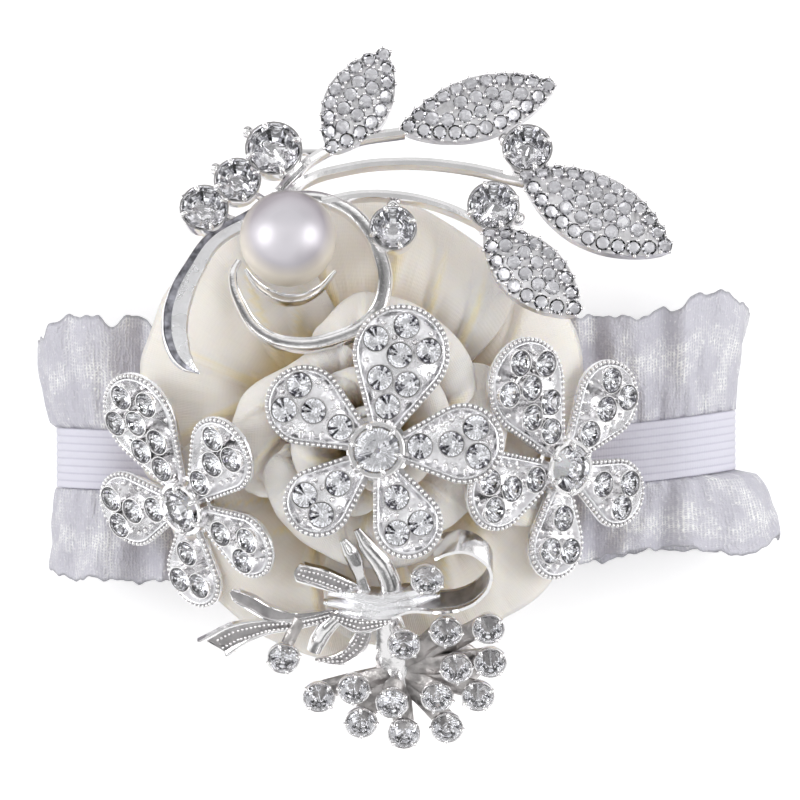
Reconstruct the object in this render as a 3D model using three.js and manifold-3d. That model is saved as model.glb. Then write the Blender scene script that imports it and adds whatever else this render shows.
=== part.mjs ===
// Wrist corsage: a folded satin rose with five rhinestone brooches on a ruffled elastic band.
// It lies on its back. The flower faces +Z and the wrist goes through the band along Y.
// Millimetres. The origin is on the flat outer face of the band's back run.

import * as THREE from "three";
import { mergeVertices } from "three/addons/utils/BufferGeometryUtils.js";
import Module from "manifold-3d";

const wasm = await Module();
wasm.setup();

// Scale: the size of one photo pixel on the object, and the pixel over the origin.
const pixel = 0.14;
const originPixels = [370, 466];

// Clearance between pieces that touch, and the extra one under a brooch.
const fitGap = 0.3;
const seatGap = 0.45;

// Overrun of a cut past the face that it opens.
const cutOverrun = 0.1;

// Elastic band: a flat loop that lies on its back run, centred under a photo pixel.
const bandCentrePixels = [396, 466];
const bandHalfLength = 48.2;
const bandEndRadius = 10;
const bandRise = { left: 1.1, right: 3.6 };
const elasticWidth = 8.4;
const elasticThickness = 1.4;
const ribCount = 7;
const ribDepth = 0.3;
const ribCrownShare = 0.7;
const straightSteps = 2;
const foldSteps = 7;

// Organza ruffles, gathered along both edges of the elastic.
const ruffleThickness = 0.6;
const ruffleFolds = 26;
const stepsPerFold = 4;
const rootFoldDepth = 0.4;
const edgeFoldDepth = 2.4;
const scallop = 0.5;
const ruffleRowShares = [0, 0.5, 1];
const upperRuffle = { width: 14.6, side: 1, flare: { left: 2, right: 1.5 } };
const lowerRuffle = { width: 12.6, side: -1, flare: { left: 0.6, right: 6 } };

// Backing: a felt disc on the band, and the base that the petals are sewn to.
const feltRadius = 24;
const feltThickness = 1.4;
const baseRadius = 21;
const baseThickness = 1.2;
const discSegments = 24;

// Rose: nested petals. Level 0 is the outermost profile, level 1 the axis.
const roseCentrePixels = [370, 430];
const roseRadius = 33;
const roseRootRadius = 17;
const roseHeight = 22;
const outerCrestShare = 0.3;
const crestRadiusShare = 0.86;
const rimDroop = 5;
const droopPower = 1.5;
const innerDroop = 0.6;
const crestDroopShare = 0.5;
const rootFlareShare = 0.35;
const rootRiseShare = 0.6;
const petalCornerShare = 0.3;
const petalCornerPower = 5;
const petalAngleSteps = 8;
const petalLiftSteps = 4;
const budShare = 0.86;
const budSegments = 10;
const outerPetals = {
  name: "outer_petal", count: 5, start: -38, sweep: 98, levelShares: [0.14, 0.01], thicknessShare: 0.022,
};
const middlePetals = {
  name: "middle_petal", count: 4, start: 8, sweep: 122, levelShares: [0.5, 0.35], thicknessShare: 0.03,
};
const innerPetals = {
  name: "inner_petal", count: 2, start: 60, sweep: 225, levelShares: [0.77, 0.6], thicknessShare: 0.045,
};

// Stones: height and table as shares of the radius.
const stoneHeightShare = 0.8;
const stoneGirdleShare = 0.4;
const stoneTableShare = 0.6;
const stoneFootShare = 0.7;
const stoneSides = 8;
const bedStoneSides = 5;
const bedThickness = 0.3;

// Flower brooch: five cast petals round a cup. The places are along and across each petal.
const plateThickness = 1;
const plateRimWidth = 0.8;
const plateRimHeight = 0.6;
const petalRootDistance = 4;
const petalRootRadius = 2.2;
const hubRadius = 4.4;
const hubCupRadius = 3.9;
const hubCupHeight = 1.5;
const centreStoneRadius = 3.3;
const setStoneRadius = 1.7;
const arcSteps = 7;
const rimStartRadius = 5.6;
const cupSides = 12;
const flowerStep = -72;
const flowerPetals = [
  {
    tipDistance: 13.8, tipRadius: 6.8,
    stones: [[6.2, 0], [9.8, 1.95], [9.8, -1.95], [13.5, 0], [15, 3.8], [15, -3.8], [17.7, 0]],
  },
  { tipDistance: 12, tipRadius: 5.6, stones: [[6, 0], [10.4, 0], [14, 2], [14, -2]] },
  { tipDistance: 11, tipRadius: 4.9, stones: [[7.1, 0], [11.7, 1.8], [11.7, -1.8]] },
  { tipDistance: 11, tipRadius: 4.9, stones: [[7.1, 0], [11.7, 1.8], [11.7, -1.8]] },
  { tipDistance: 12, tipRadius: 5.6, stones: [[6, 0], [10.4, 0], [14, 2], [14, -2]] },
];
const flowers = [
  { name: "left_flower", hubPixels: [194, 502], leanTo: 208.9, lean: 48.3, spin: 119.8 },
  { name: "right_flower", hubPixels: [558, 466], leanTo: -9.2, lean: 40, spin: 122.1 },
  { name: "centre_flower", hubPixels: [379, 450], leanTo: 163.7, lean: 7.1, spin: 76.5 },
];

// Leaf spray brooch: places in photo pixels, sizes in millimetres.
const sprayLean = -20;
const sprayCentrePixels = [370, 200];
const leafWallHeight = 1.5;
const leafRimWidth = 0.5;
const leafDomeHeight = 1.3;
const leafOutlineSteps = 7;
const leafFullness = 0.72;
const leafPointShare = 2;
const paveRadius = 1.12;
const pavePitch = 2.45;
const paveSides = 4;
const paveStand = 0.55;
const paveEdgeShare = 0.8;
const paveStaggerShare = 1.5;
const leaves = [
  { basePixels: [330, 156], tipPixels: [386, 54], halfWidth: 4.7 },
  { basePixels: [401, 134], tipPixels: [556, 88], halfWidth: 4.6 },
  { basePixels: [521, 177], tipPixels: [669, 254], halfWidth: 5.4 },
  { basePixels: [484, 233], tipPixels: [577, 318], halfWidth: 4.6 },
];
const stemWidth = 1.7;
const stemHeight = 1.6;
const stemSteps = 6;
const stems = [
  [[272, 203], [291, 181], [314, 160], [352, 143], [404, 134]],
  [[280, 203], [304, 184], [345, 171], [400, 165], [460, 169], [524, 183]],
  [[322, 205], [358, 198], [400, 199], [440, 208], [482, 226]],
];
const hornWidth = 3.6;
const hornDrop = 5;
const hornEndShare = 0.3;
const hornRootShare = 0.2;
const hornPixels = [[268, 209], [232, 226], [204, 255], [186, 288], [176, 324], [177, 352], [190, 378]];
const scrollWidth = 2;
const scrollHeight = 1.8;
const scrollSteps = 16;
const linkSteps = 1;
const scrollPixels = [
  [268, 209], [300, 200], [336, 207], [364, 228], [380, 258], [385, 290], [372, 322], [336, 342],
  [294, 347], [262, 335], [243, 310], [234, 276], [240, 262],
];
const crescentPixels = [[236, 268], [250, 294], [276, 311], [304, 312], [326, 298], [338, 270]];
const crescentWidth = 1.2;
const pearlRadius = 6.7;
const pearlPixels = [289, 243];
const pearlDishShare = 0.8;
const pearlDishWall = 0.9;
const pearlSides = 14;
const pearlRings = 8;
const cupWall = 0.45;
const cupFloor = 0.9;
const cupLipShare = 0.35;
const sprayStones = [
  { pixels: [205, 212], radius: 3, ballPixels: [186, 199] },
  { pixels: [238, 184], radius: 2.9, ballPixels: [216, 168] },
  { pixels: [274, 153], radius: 3.5, ballPixels: [248, 131] },
  { pixels: [527, 152], radius: 3.1, ballPixels: [505, 140] },
  { pixels: [493, 210], radius: 3.2, ballPixels: [518, 219] },
  { pixels: [393, 232], radius: 2.9, ballPixels: [393, 207] },
];
const ballRadius = 0.9;
const ballSides = 6;
const ballRings = 4;
const sprayLinks = [
  [[205, 212], [240, 222]], [[238, 184], [268, 203]], [[274, 153], [290, 176]],
  [[274, 153], [330, 153]], [[527, 152], [521, 180]], [[493, 210], [480, 226]], [[393, 232], [398, 201]],
];
const linkWidth = 1.3;

// Bow brooch with its bunch of cupped stones: places in photo pixels.
const bowLean = 28;
const bowCentrePixels = [370, 598];
const ribbonThickness = 1.1;
const bandStand = 2.2;
const knotLength = 9;
const knotWidth = 2.6;
const bowLoopSteps = 8;
const bowLoopPixels = [
  [372, 598], [420, 594], [466, 584], [487, 568], [488, 550], [472, 535], [448, 532], [426, 545],
];
const bowRibbons = [
  { width: 3.1, pixels: [[296, 566], [322, 574], [362, 592]] },
  { width: 2, pixels: [[350, 541], [358, 562], [368, 592]] },
  { width: 2.6, pixels: [[380, 560], [382, 578], [380, 594]] },
  { width: 2.2, pixels: [[238, 596], [256, 612], [288, 620], [332, 610], [366, 600]] },
  { width: 2.9, pixels: [[206, 642], [246, 628], [290, 618], [336, 609]] },
  { width: 2.3, pixels: [[366, 602], [362, 632], [344, 650], [318, 660]] },
  { width: 3.6, pixels: [[384, 602], [398, 626], [402, 652], [398, 678]] },
];
const beadLeafPixels = [[330, 608], [396, 616]];
const beadLeafHalfWidth = 1.3;
const bowStoneRadius = 2.15;
const bowCupStand = 2;
const stalkWidth = 1.2;
const stalkRootPixels = [398, 672];
const stalkRiseShare = 0.35;
const stalkSteps = 2;
const ribbonSteps = 4;
const bunchPixels = [
  [446, 624], [488, 621], [456, 661], [490, 655], [437, 690], [478, 689],
  [392, 696], [447, 721], [404, 727], [361, 716], [354, 682], [319, 690],
];
const bowSideStones = [
  { pixels: [404, 637], rootPixels: [400, 662] },
  { pixels: [284, 651], rootPixels: [300, 618] },
  { pixels: [427, 572], rootPixels: [410, 594] },
];

// Finishes.
const finishes = {
  elastic: { color: 0xe4e2ee, roughness: 0.8, metalness: 0 },
  organza: { color: 0xe6e5ee, roughness: 0.6, metalness: 0 },
  felt: { color: 0xf0ece2, roughness: 1, metalness: 0 },
  satin: { color: 0xeee6d6, roughness: 0.45, metalness: 0 },
  silver: { color: 0xc8c8cc, roughness: 0.2, metalness: 1 },
  crystal: { color: 0xf2f4f8, roughness: 0.05, metalness: 0 },
  pearl: { color: 0xe6e2e8, roughness: 0.2, metalness: 0 },
};

const corsage = new THREE.Group();

// The place of a photo pixel in the plan.
function plateAt([x, y]) {
  return [(x - originPixels[0]) * pixel, (originPixels[1] - y) * pixel];
}

// A named piece with its finish, added to a group.
function addPiece(parent, name, geometry, finish) {
  const mesh = new THREE.Mesh(geometry, new THREE.MeshStandardMaterial(finishes[finish]));
  mesh.name = name;
  parent.add(mesh);
  return mesh;
}

// A closed geometry from points and triangles, with its faces turned outwards.
function closedGeometry(points, triangles) {
  const volume = triangles.reduce(
    (sum, [a, b, c]) => sum + points[a].dot(points[b].clone().cross(points[c])), 0);
  const turned = volume < 0 ? triangles.map(([a, b, c]) => [a, c, b]) : triangles;
  const geometry = new THREE.BufferGeometry();
  geometry.setAttribute(
    "position", new THREE.Float32BufferAttribute(points.flatMap((p) => [p.x, p.y, p.z]), 3));
  geometry.setIndex(turned.flat());
  return geometry;
}

// A shell between two grids of points; around says that the rows close into a loop.
function shell(front, back, around) {
  const rows = front.length;
  const columns = front[0].length;
  const points = [...front.flat(), ...back.flat()];
  const behind = rows * columns;
  const triangles = [];
  const quad = (a, b, c, d) => triangles.push([a, b, c], [a, c, d]);
  for (let i = 0; i < (around ? rows : rows - 1); i += 1) {
    const here = i * columns;
    const next = ((i + 1) % rows) * columns;
    for (let j = 0; j < columns - 1; j += 1) {
      quad(here + j, next + j, next + j + 1, here + j + 1);
      quad(behind + here + j, behind + here + j + 1, behind + next + j + 1, behind + next + j);
    }
    const last = columns - 1;
    quad(here, behind + here, behind + next, next);
    quad(here + last, next + last, behind + next + last, behind + here + last);
  }
  if (!around) {
    const end = (rows - 1) * columns;
    for (let j = 0; j < columns - 1; j += 1) {
      quad(j, j + 1, behind + j + 1, behind + j);
      quad(end + j, behind + end + j, behind + end + j + 1, end + j + 1);
    }
  }
  return closedGeometry(points, triangles);
}

// A tube of rings of points. It closes into a loop, or ends in a flat fan at each end.
function tube(rings, around = false) {
  const sides = rings[0].length;
  const points = rings.flat();
  const triangles = [];
  for (let i = 0; i < (around ? rings.length : rings.length - 1); i += 1) {
    const here = i * sides;
    const above = ((i + 1) % rings.length) * sides;
    for (let j = 0; j < sides; j += 1) {
      const next = (j + 1) % sides;
      triangles.push([here + j, here + next, above + next], [here + j, above + next, above + j]);
    }
  }
  const ends = around ? [] : [[rings[0], 0], [rings.at(-1), (rings.length - 1) * sides]];
  for (const [ring, start] of ends) {
    const centre = points.length;
    points.push(ring.reduce((sum, p) => sum.add(p), new THREE.Vector3()).divideScalar(sides));
    for (let j = 0; j < sides; j += 1) {
      const next = start + ((j + 1) % sides);
      triangles.push(start === 0 ? [centre, next, start + j] : [centre, start + j, next]);
    }
  }
  return closedGeometry(points, triangles);
}

// A ring of points turned from a profile of radius and height, as a closed solid.
function turned(profile, segments) {
  const outline = profile.map(([radius, height]) => new THREE.Vector2(radius, height));
  return new THREE.LatheGeometry(outline, segments).rotateX(Math.PI / 2);
}

// A plate with a flat outline, standing on its back face.
function plate(outline, thickness) {
  return new THREE.ExtrudeGeometry(new THREE.Shape(outline), { depth: thickness, bevelEnabled: false });
}

const cosOf = (degrees) => Math.cos(THREE.MathUtils.degToRad(degrees));
const sinOf = (degrees) => Math.sin(THREE.MathUtils.degToRad(degrees));

// Booleans.
function solidOf(geometry) {
  const bare = geometry.clone();
  bare.deleteAttribute("normal");
  bare.deleteAttribute("uv");
  const merged = mergeVertices(bare);
  const mesh = new wasm.Mesh({
    numProp: 3,
    vertProperties: new Float32Array(merged.attributes.position.array),
    triVerts: new Uint32Array(merged.index.array),
  });
  return new wasm.Manifold(mesh);
}

function geometryOf(solid) {
  const { vertProperties, triVerts } = solid.getMesh();
  const geometry = new THREE.BufferGeometry();
  geometry.setAttribute("position", new THREE.BufferAttribute(vertProperties, 3));
  geometry.setIndex(new THREE.BufferAttribute(triVerts, 1));
  return geometry;
}

function joined(geometries) {
  return geometryOf(geometries.map(solidOf).reduce((whole, solid) => whole.add(solid)));
}

// Section shapes for bars, as shares of half the width and of the height.
const halfRoundShares = [[-1, 0], [1, 0], [0.8, 0.7], [0, 1], [-0.8, 0.7]];
const flatShares = [[-1, 0], [1, 0], [1, 1], [-1, 1]];

// A bar along a route, flat on its back, with a width share and a lift along it.
function bar(route, sectionShares, width, height, steps, widthShareAt = () => 1) {
  const curve = new THREE.CatmullRomCurve3(route);
  const up = new THREE.Vector3(0, 0, 1);
  const rings = [];
  for (let i = 0; i <= steps; i += 1) {
    const share = i / steps;
    const along = curve.getTangentAt(share);
    const across = along.clone().cross(up).normalize();
    const half = (width / 2) * widthShareAt(share);
    rings.push(sectionShares.map(([u, v]) => curve.getPointAt(share)
      .addScaledVector(across, u * half).addScaledVector(up, v * height)));
  }
  return tube(rings);
}

// A cut stone standing on its foot.
function stone(radius, sides) {
  const height = radius * stoneHeightShare;
  return turned([
    [0, 0], [radius * stoneFootShare, 0], [radius, height * stoneGirdleShare],
    [radius * stoneTableShare, height], [0, height],
  ], sides);
}

// A small stone set in a bed: only its top stands out.
function bedStone(radius, sides) {
  const height = radius * stoneHeightShare;
  const foot = bedThickness / 2;
  return turned([[0, foot], [radius, foot], [radius * stoneTableShare, height], [0, height]], sides);
}

// A seat under a small stone, narrower at its foot.
function stoneSeat(radius) {
  return turned([[0, 0], [radius * stoneFootShare, 0], [radius, cupFloor], [0, cupFloor]], stoneSides);
}

// A cup round a stone, open at the front, standing on its foot.
function stoneCup(radius, sides) {
  const inner = radius + fitGap;
  const outer = inner + cupWall;
  const lip = cupFloor + fitGap + radius * cupLipShare;
  return turned([
    [0, 0], [outer * stoneFootShare, 0], [outer, lip], [inner, lip], [inner, cupFloor], [0, cupFloor],
  ], sides);
}
const stoneSeatZ = cupFloor + fitGap;

// Band: a point of the outer loop at a distance along it, with its outward direction.
const [bandCentreX, bandCentreY] = plateAt(bandCentrePixels);
const bandStraight = bandHalfLength - bandEndRadius;
const foldLength = Math.PI * bandEndRadius;
const loopLength = 4 * bandStraight + 2 * foldLength;
const bandTopZ = 2 * bandEndRadius;

function loopStation(distance) {
  const side = (start, sign) => {
    const angle = (distance - start) / bandEndRadius;
    const out = new THREE.Vector3(sign * Math.sin(angle), 0, sign * Math.cos(angle));
    return {
      x: bandCentreX + sign * bandStraight + out.x * bandEndRadius,
      z: bandEndRadius + out.z * bandEndRadius, out,
    };
  };
  const backStart = bandStraight + foldLength;
  const leftStart = backStart + 2 * bandStraight;
  if (distance <= bandStraight) {
    return { x: bandCentreX + distance, z: bandTopZ, out: new THREE.Vector3(0, 0, 1) };
  }
  if (distance < backStart) return side(bandStraight, 1);
  if (distance <= leftStart) {
    return { x: bandCentreX + bandStraight - (distance - backStart), z: 0, out: new THREE.Vector3(0, 0, -1) };
  }
  if (distance < leftStart + foldLength) return side(leftStart, -1);
  return { x: bandCentreX + distance - loopLength, z: bandTopZ, out: new THREE.Vector3(0, 0, 1) };
}

// The band's centre line rises towards both folds.
function bandY(x) {
  const share = (x - bandCentreX) / bandHalfLength;
  return bandCentreY + (share < 0 ? bandRise.left : bandRise.right) * share * share;
}

function loopPoint(station, y, inwards) {
  return new THREE.Vector3(station.x, y, station.z).addScaledVector(station.out, -inwards);
}

function elasticStations() {
  const run = (start, length, steps) => Array.from({ length: steps }, (_, i) => start + (length * i) / steps);
  return [
    ...run(0, bandStraight, straightSteps),
    ...run(bandStraight, foldLength, foldSteps),
    ...run(bandStraight + foldLength, 2 * bandStraight, 2 * straightSteps),
    ...run(3 * bandStraight + foldLength, foldLength, foldSteps),
    ...run(3 * bandStraight + 2 * foldLength, bandStraight, straightSteps),
  ].map(loopStation);
}

function elasticGeometry() {
  const pitch = elasticWidth / ribCount;
  const section = [];
  for (let k = 0; k < ribCount; k += 1) {
    const middle = (k + 0.5) * pitch - elasticWidth / 2;
    const half = (pitch * ribCrownShare) / 2;
    section.push([middle - half, 0], [middle + half, 0]);
    if (k < ribCount - 1) section.push([middle + pitch / 2, ribDepth]);
  }
  section.push([elasticWidth / 2, elasticThickness], [-elasticWidth / 2, elasticThickness]);
  const rings = elasticStations().map(
    (station) => section.map(([y, depth]) => loopPoint(station, bandY(station.x) + y, depth)));
  return tube(rings, true);
}

function ruffleGeometry({ width, side, flare }) {
  const steps = ruffleFolds * stepsPerFold;
  const stations = Array.from({ length: steps }, (_, i) => i);
  const pointAt = (i, share, depth) => {
    const station = loopStation((loopLength * i) / steps);
    const wave = (1 - Math.cos((2 * Math.PI * i) / stepsPerFold + Math.sin(i))) / 2;
    const foldDepth = THREE.MathUtils.lerp(rootFoldDepth, edgeFoldDepth, share) * wave;
    const root = bandY(station.x) + side * (elasticWidth / 2 + fitGap);
    const y = root + side * share * (width + scallop * Math.cos(i));
    const point = loopPoint(station, y, foldDepth + depth);
    const beyond = Math.max(0, Math.abs(station.x - bandCentreX) - bandStraight) / bandEndRadius;
    const right = station.x > bandCentreX;
    point.x += (right ? flare.right : -flare.left) * beyond * share * share;
    return point;
  };
  const sheet = (depth) => stations.map((i) => ruffleRowShares.map((share) => pointAt(i, share, depth)));
  return shell(sheet(0), sheet(ruffleThickness), true);
}

addPiece(corsage, "elastic_band", elasticGeometry(), "elastic");
addPiece(corsage, "upper_ruffle", ruffleGeometry(upperRuffle), "organza");
addPiece(corsage, "lower_ruffle", ruffleGeometry(lowerRuffle), "organza");

// Backing discs, each a gap above what carries it.
const [roseCentreX, roseCentreY] = plateAt(roseCentrePixels);
const rose = new THREE.Group();
rose.position.set(roseCentreX, roseCentreY, bandTopZ + fitGap);
corsage.add(rose);

function disc(radius, thickness) {
  return turned([[0, 0], [radius, 0], [radius, thickness], [0, thickness]], discSegments);
}

addPiece(rose, "felt_backing", disc(feltRadius, feltThickness), "felt");
const base = addPiece(rose, "rose_base", disc(baseRadius, baseThickness), "satin");
base.position.z = feltThickness + fitGap;
const petalRootZ = base.position.z + baseThickness + fitGap;

// The rose's profile at a level: radius and height from the root to the rim.
function rosePoint(level, lift) {
  const outward = 1 - level;
  const rimRadius = roseRadius * outward;
  const rootRadius = roseRootRadius * outward;
  const crest = roseHeight * (outerCrestShare + (1 - outerCrestShare) * (1 - outward * outward));
  const droop = rimDroop * outward ** droopPower + innerDroop;
  const flareRadius = rootRadius + (rimRadius - rootRadius) * rootFlareShare;
  const radii = [rootRadius, flareRadius, rimRadius * crestRadiusShare, rimRadius];
  const heights = [0, crest * rootRiseShare, crest + droop * crestDroopShare, crest - droop];
  const down = 1 - lift;
  const weights = [down ** 3, 3 * down * down * lift, 3 * down * lift * lift, lift ** 3];
  const blend = (values) => values.reduce((sum, value, i) => sum + value * weights[i], 0);
  return { radius: blend(radii), height: petalRootZ + blend(heights) };
}

// One petal's level and highest lift at a share of its sweep.
function petalLevel({ levelShares }, share) {
  return THREE.MathUtils.lerp(levelShares[0], levelShares[1], share);
}
function petalRim(share) {
  return 1 - petalCornerShare * Math.abs(2 * share - 1) ** petalCornerPower;
}

function petalGeometry(layer, start) {
  const gridAt = (inwards) => Array.from({ length: petalAngleSteps + 1 }, (_, i) => {
    const share = i / petalAngleSteps;
    const angle = start + layer.sweep * share;
    return Array.from({ length: petalLiftSteps + 1 }, (__, j) => {
      const lift = (petalRim(share) * j) / petalLiftSteps;
      const { radius, height } = rosePoint(petalLevel(layer, share) + inwards, lift);
      return new THREE.Vector3(radius * cosOf(angle), radius * sinOf(angle), height);
    });
  });
  return shell(gridAt(0), gridAt(layer.thicknessShare), false);
}

const rosePetals = [outerPetals, middlePetals, innerPetals].flatMap((layer) => Array.from(
  { length: layer.count },
  (_, i) => ({ layer, start: layer.start + (360 / layer.count) * i, number: i + 1 })));
for (const { layer, start, number } of rosePetals) {
  addPiece(rose, `${layer.name}_${number}`, petalGeometry(layer, start), "satin");
}

const budProfile = Array.from({ length: petalLiftSteps + 1 }, (_, j) => {
  const { radius, height } = rosePoint(budShare, (crestRadiusShare * j) / petalLiftSteps);
  return [radius, height];
});
const budTop = rosePoint(1, crestRadiusShare).height;
addPiece(rose, "rose_bud", turned([[0, petalRootZ], ...budProfile, [0, budTop]], budSegments), "satin");

// The rose's highest surface under a point of the plan, or none beyond its rim.
const profileSamples = 24;
function profileTop(level, rim, radius) {
  let top = -Infinity;
  let before = rosePoint(level, 0);
  for (let j = 1; j <= profileSamples; j += 1) {
    const here = rosePoint(level, (rim * j) / profileSamples);
    const crosses = (before.radius - radius) * (here.radius - radius) <= 0;
    if (crosses) top = Math.max(top, before.height, here.height);
    before = here;
  }
  return top;
}

function roseTop(x, y) {
  const radius = Math.hypot(x - roseCentreX, y - roseCentreY);
  const angle = THREE.MathUtils.radToDeg(Math.atan2(y - roseCentreY, x - roseCentreX));
  const petalTops = rosePetals.map(({ layer, start }) => {
    const turn = THREE.MathUtils.euclideanModulo(angle - start, 360) / layer.sweep;
    if (turn > 1) return -Infinity;
    return profileTop(petalLevel(layer, turn), petalRim(turn), radius);
  });
  const budTopHere = radius < roseRadius * (1 - budShare) ? budTop : -Infinity;
  return rose.position.z + Math.max(budTopHere, ...petalTops);
}

// Lowers a brooch's group on to the rose, by the points of its casting.
function seatOnRose(group, casting) {
  group.updateMatrixWorld(true);
  const point = new THREE.Vector3();
  const places = casting.attributes.position;
  let height = -Infinity;
  for (let i = 0; i < places.count; i += 1) {
    point.fromBufferAttribute(places, i).applyMatrix4(group.matrixWorld);
    height = Math.max(height, roseTop(point.x, point.y) - point.z);
  }
  group.position.z = height + seatGap;
}

// Flower brooch: the outline of one petal, inset by a margin.
function petalOutline({ tipDistance, tipRadius }, inset) {
  const tip = tipRadius - inset;
  const root = petalRootRadius - inset;
  const shoulder = Math.acos((root - tip) / (tipDistance - petalRootDistance));
  const arc = (centre, radius, from, to) => Array.from({ length: arcSteps + 1 }, (_, i) => {
    const angle = THREE.MathUtils.lerp(from, to, i / arcSteps);
    return new THREE.Vector2(centre + radius * Math.cos(angle), radius * Math.sin(angle));
  });
  const rootEnd = [new THREE.Vector2(0, -root), new THREE.Vector2(0, root)];
  return [rootEnd[0], ...arc(tipDistance, tip, -shoulder, shoulder), rootEnd[1]];
}

function petalTurn(index) {
  return THREE.MathUtils.degToRad(flowerStep * index);
}

function flowerCasting() {
  const petals = flowerPetals.map((petal, index) => plate(petalOutline(petal, 0), plateThickness)
    .rotateZ(petalTurn(index)));
  const rims = flowerPetals.map((petal, index) => {
    const whole = plate(petalOutline(petal, 0), plateThickness + plateRimHeight);
    const well = plate(petalOutline(petal, plateRimWidth), plateThickness + plateRimHeight)
      .translate(0, 0, plateThickness);
    return geometryOf(solidOf(whole).subtract(solidOf(well))).rotateZ(petalTurn(index));
  });
  const lip = plateThickness + hubCupHeight;
  const middle = disc(rimStartRadius, lip).translate(0, 0, plateThickness);
  const outlineRims = geometryOf(solidOf(joined(rims)).subtract(solidOf(middle)));
  const inner = hubCupRadius - cupWall;
  const cup = turned([
    [0, 0], [hubCupRadius, 0], [hubCupRadius, lip], [inner, lip],
    [inner, plateThickness], [0, plateThickness],
  ], cupSides);
  return joined([...petals, disc(hubRadius, plateThickness), outlineRims, cup]);
}

function flowerStones() {
  const inset = plateRimWidth + fitGap;
  const pieces = flowerPetals.flatMap((petal, index) => {
    const bed = plate(petalOutline(petal, inset), bedThickness);
    const stones = petal.stones.map(([along, across]) => bedStone(setStoneRadius, bedStoneSides)
      .translate(along, across, 0));
    return [bed, ...stones].map((piece) => piece.rotateZ(petalTurn(index)));
  });
  const ring = disc(rimStartRadius - fitGap, bedThickness);
  const lip = plateThickness + hubCupHeight;
  const hole = disc(hubCupRadius + fitGap, lip).translate(0, 0, -bedThickness);
  return geometryOf(solidOf(joined([...pieces, ring])).subtract(solidOf(hole)));
}

for (const { name, hubPixels, leanTo, lean, spin } of flowers) {
  const group = new THREE.Group();
  const casting = flowerCasting();
  const axis = new THREE.Vector3(-sinOf(leanTo), cosOf(leanTo), 0);
  group.quaternion.setFromAxisAngle(axis, THREE.MathUtils.degToRad(lean));
  group.rotateZ(THREE.MathUtils.degToRad(spin));
  const [x, y] = plateAt(hubPixels);
  group.position.set(x, y, 0);
  seatOnRose(group, casting);
  corsage.add(group);
  addPiece(group, `${name}_casting`, casting, "silver");
  addPiece(group, `${name}_petal_stones`, flowerStones(), "crystal").position.z = plateThickness + fitGap;
  const centre = stone(centreStoneRadius, stoneSides);
  addPiece(group, `${name}_centre_stone`, centre, "crystal").position.z = plateThickness + fitGap;
}

// A brooch that leans about X: its group, and the place of a photo pixel on its back plane.
function leaningBrooch(centrePixels, lean) {
  const group = new THREE.Group();
  group.rotation.x = THREE.MathUtils.degToRad(lean);
  const [x, y] = plateAt(centrePixels);
  group.position.set(x, y, 0);
  const at = ([px, py], height = 0) => new THREE.Vector3(
    (px - centrePixels[0]) * pixel,
    ((centrePixels[1] - py) * pixel + height * sinOf(lean)) / cosOf(lean), height);
  return { group, at };
}

// Leaf: half the width at a share of its length.
function leafHalf(share) {
  return Math.sin(Math.PI * share) ** leafFullness;
}

function leafFrame(from, to) {
  const along = to.clone().sub(from);
  return { from, length: along.length(), turn: Math.atan2(along.y, along.x) };
}

function leafOutline({ length }, halfWidth) {
  const side = (sign) => Array.from({ length: leafOutlineSteps - 1 }, (_, i) => {
    const share = (i + 1) / leafOutlineSteps;
    return new THREE.Vector2(length * share, sign * halfWidth * leafHalf(share));
  });
  return [new THREE.Vector2(0, 0), ...side(-1), new THREE.Vector2(length, 0), ...side(1).reverse()];
}

// The horn's width along it, from its root to its point.
function hornShareAt(share) {
  return hornEndShare + (1 - hornEndShare) * Math.sin(Math.PI * Math.min(1, share + hornRootShare));
}

function setLeaf(geometry, { from, turn }) {
  return geometry.rotateZ(turn).translate(from.x, from.y, 0);
}

// A low dome over a leaf outline, made of shrinking rings.
function leafDome(outline, length, height) {
  const middle = new THREE.Vector2(length / 2, 0);
  const domeShares = [[1, 0], [0.8, 0.55], [0.45, 0.9]];
  return tube(domeShares.map(([spread, rise]) => outline.map((point) => {
    const place = point.clone().sub(middle).multiplyScalar(spread).add(middle);
    return new THREE.Vector3(place.x, place.y, rise * height);
  })));
}

// Pave stones in rows inside a leaf, standing on its dome.
function paveStones({ length }, halfWidth) {
  const stones = [];
  const rowStep = (pavePitch * Math.sqrt(3)) / 2;
  const reach = halfWidth - leafRimWidth - fitGap - paveRadius;
  const roomAt = (x) => halfWidth * leafHalf(x / length) - leafRimWidth - fitGap;
  const rows = Math.floor(reach / rowStep);
  for (let row = -rows; row <= rows; row += 1) {
    const y = row * rowStep;
    const first = pavePitch * (row % 2 === 0 ? 1 : paveStaggerShare);
    for (let x = first; x < length - paveRadius; x += pavePitch) {
      const inside = roomAt(x) > Math.abs(y) + paveRadius * paveEdgeShare
        && Math.min(roomAt(x - paveRadius), roomAt(Math.min(x + paveRadius, length))) > Math.abs(y);
      const spread = Math.hypot((2 * x) / length - 1, y / halfWidth);
      if (inside && spread < 1) {
        const z = leafDomeHeight * (1 - spread * spread);
        stones.push(turned([
          [0, -z / 2], [paveRadius, -z / 2], [paveRadius * stoneTableShare, paveStand], [0, paveStand],
        ], paveSides).translate(x, y, z));
      }
    }
  }
  return stones;
}

// The stretch of a leaf's outline inside its rim, drawn in at both points.
function leafInside(frame, halfWidth, inset) {
  const point = inset * leafPointShare;
  return leafOutline(frame, halfWidth - inset).map((place) => new THREE.Vector2(
    THREE.MathUtils.lerp(point, frame.length - point, place.x / frame.length), place.y));
}

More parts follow.
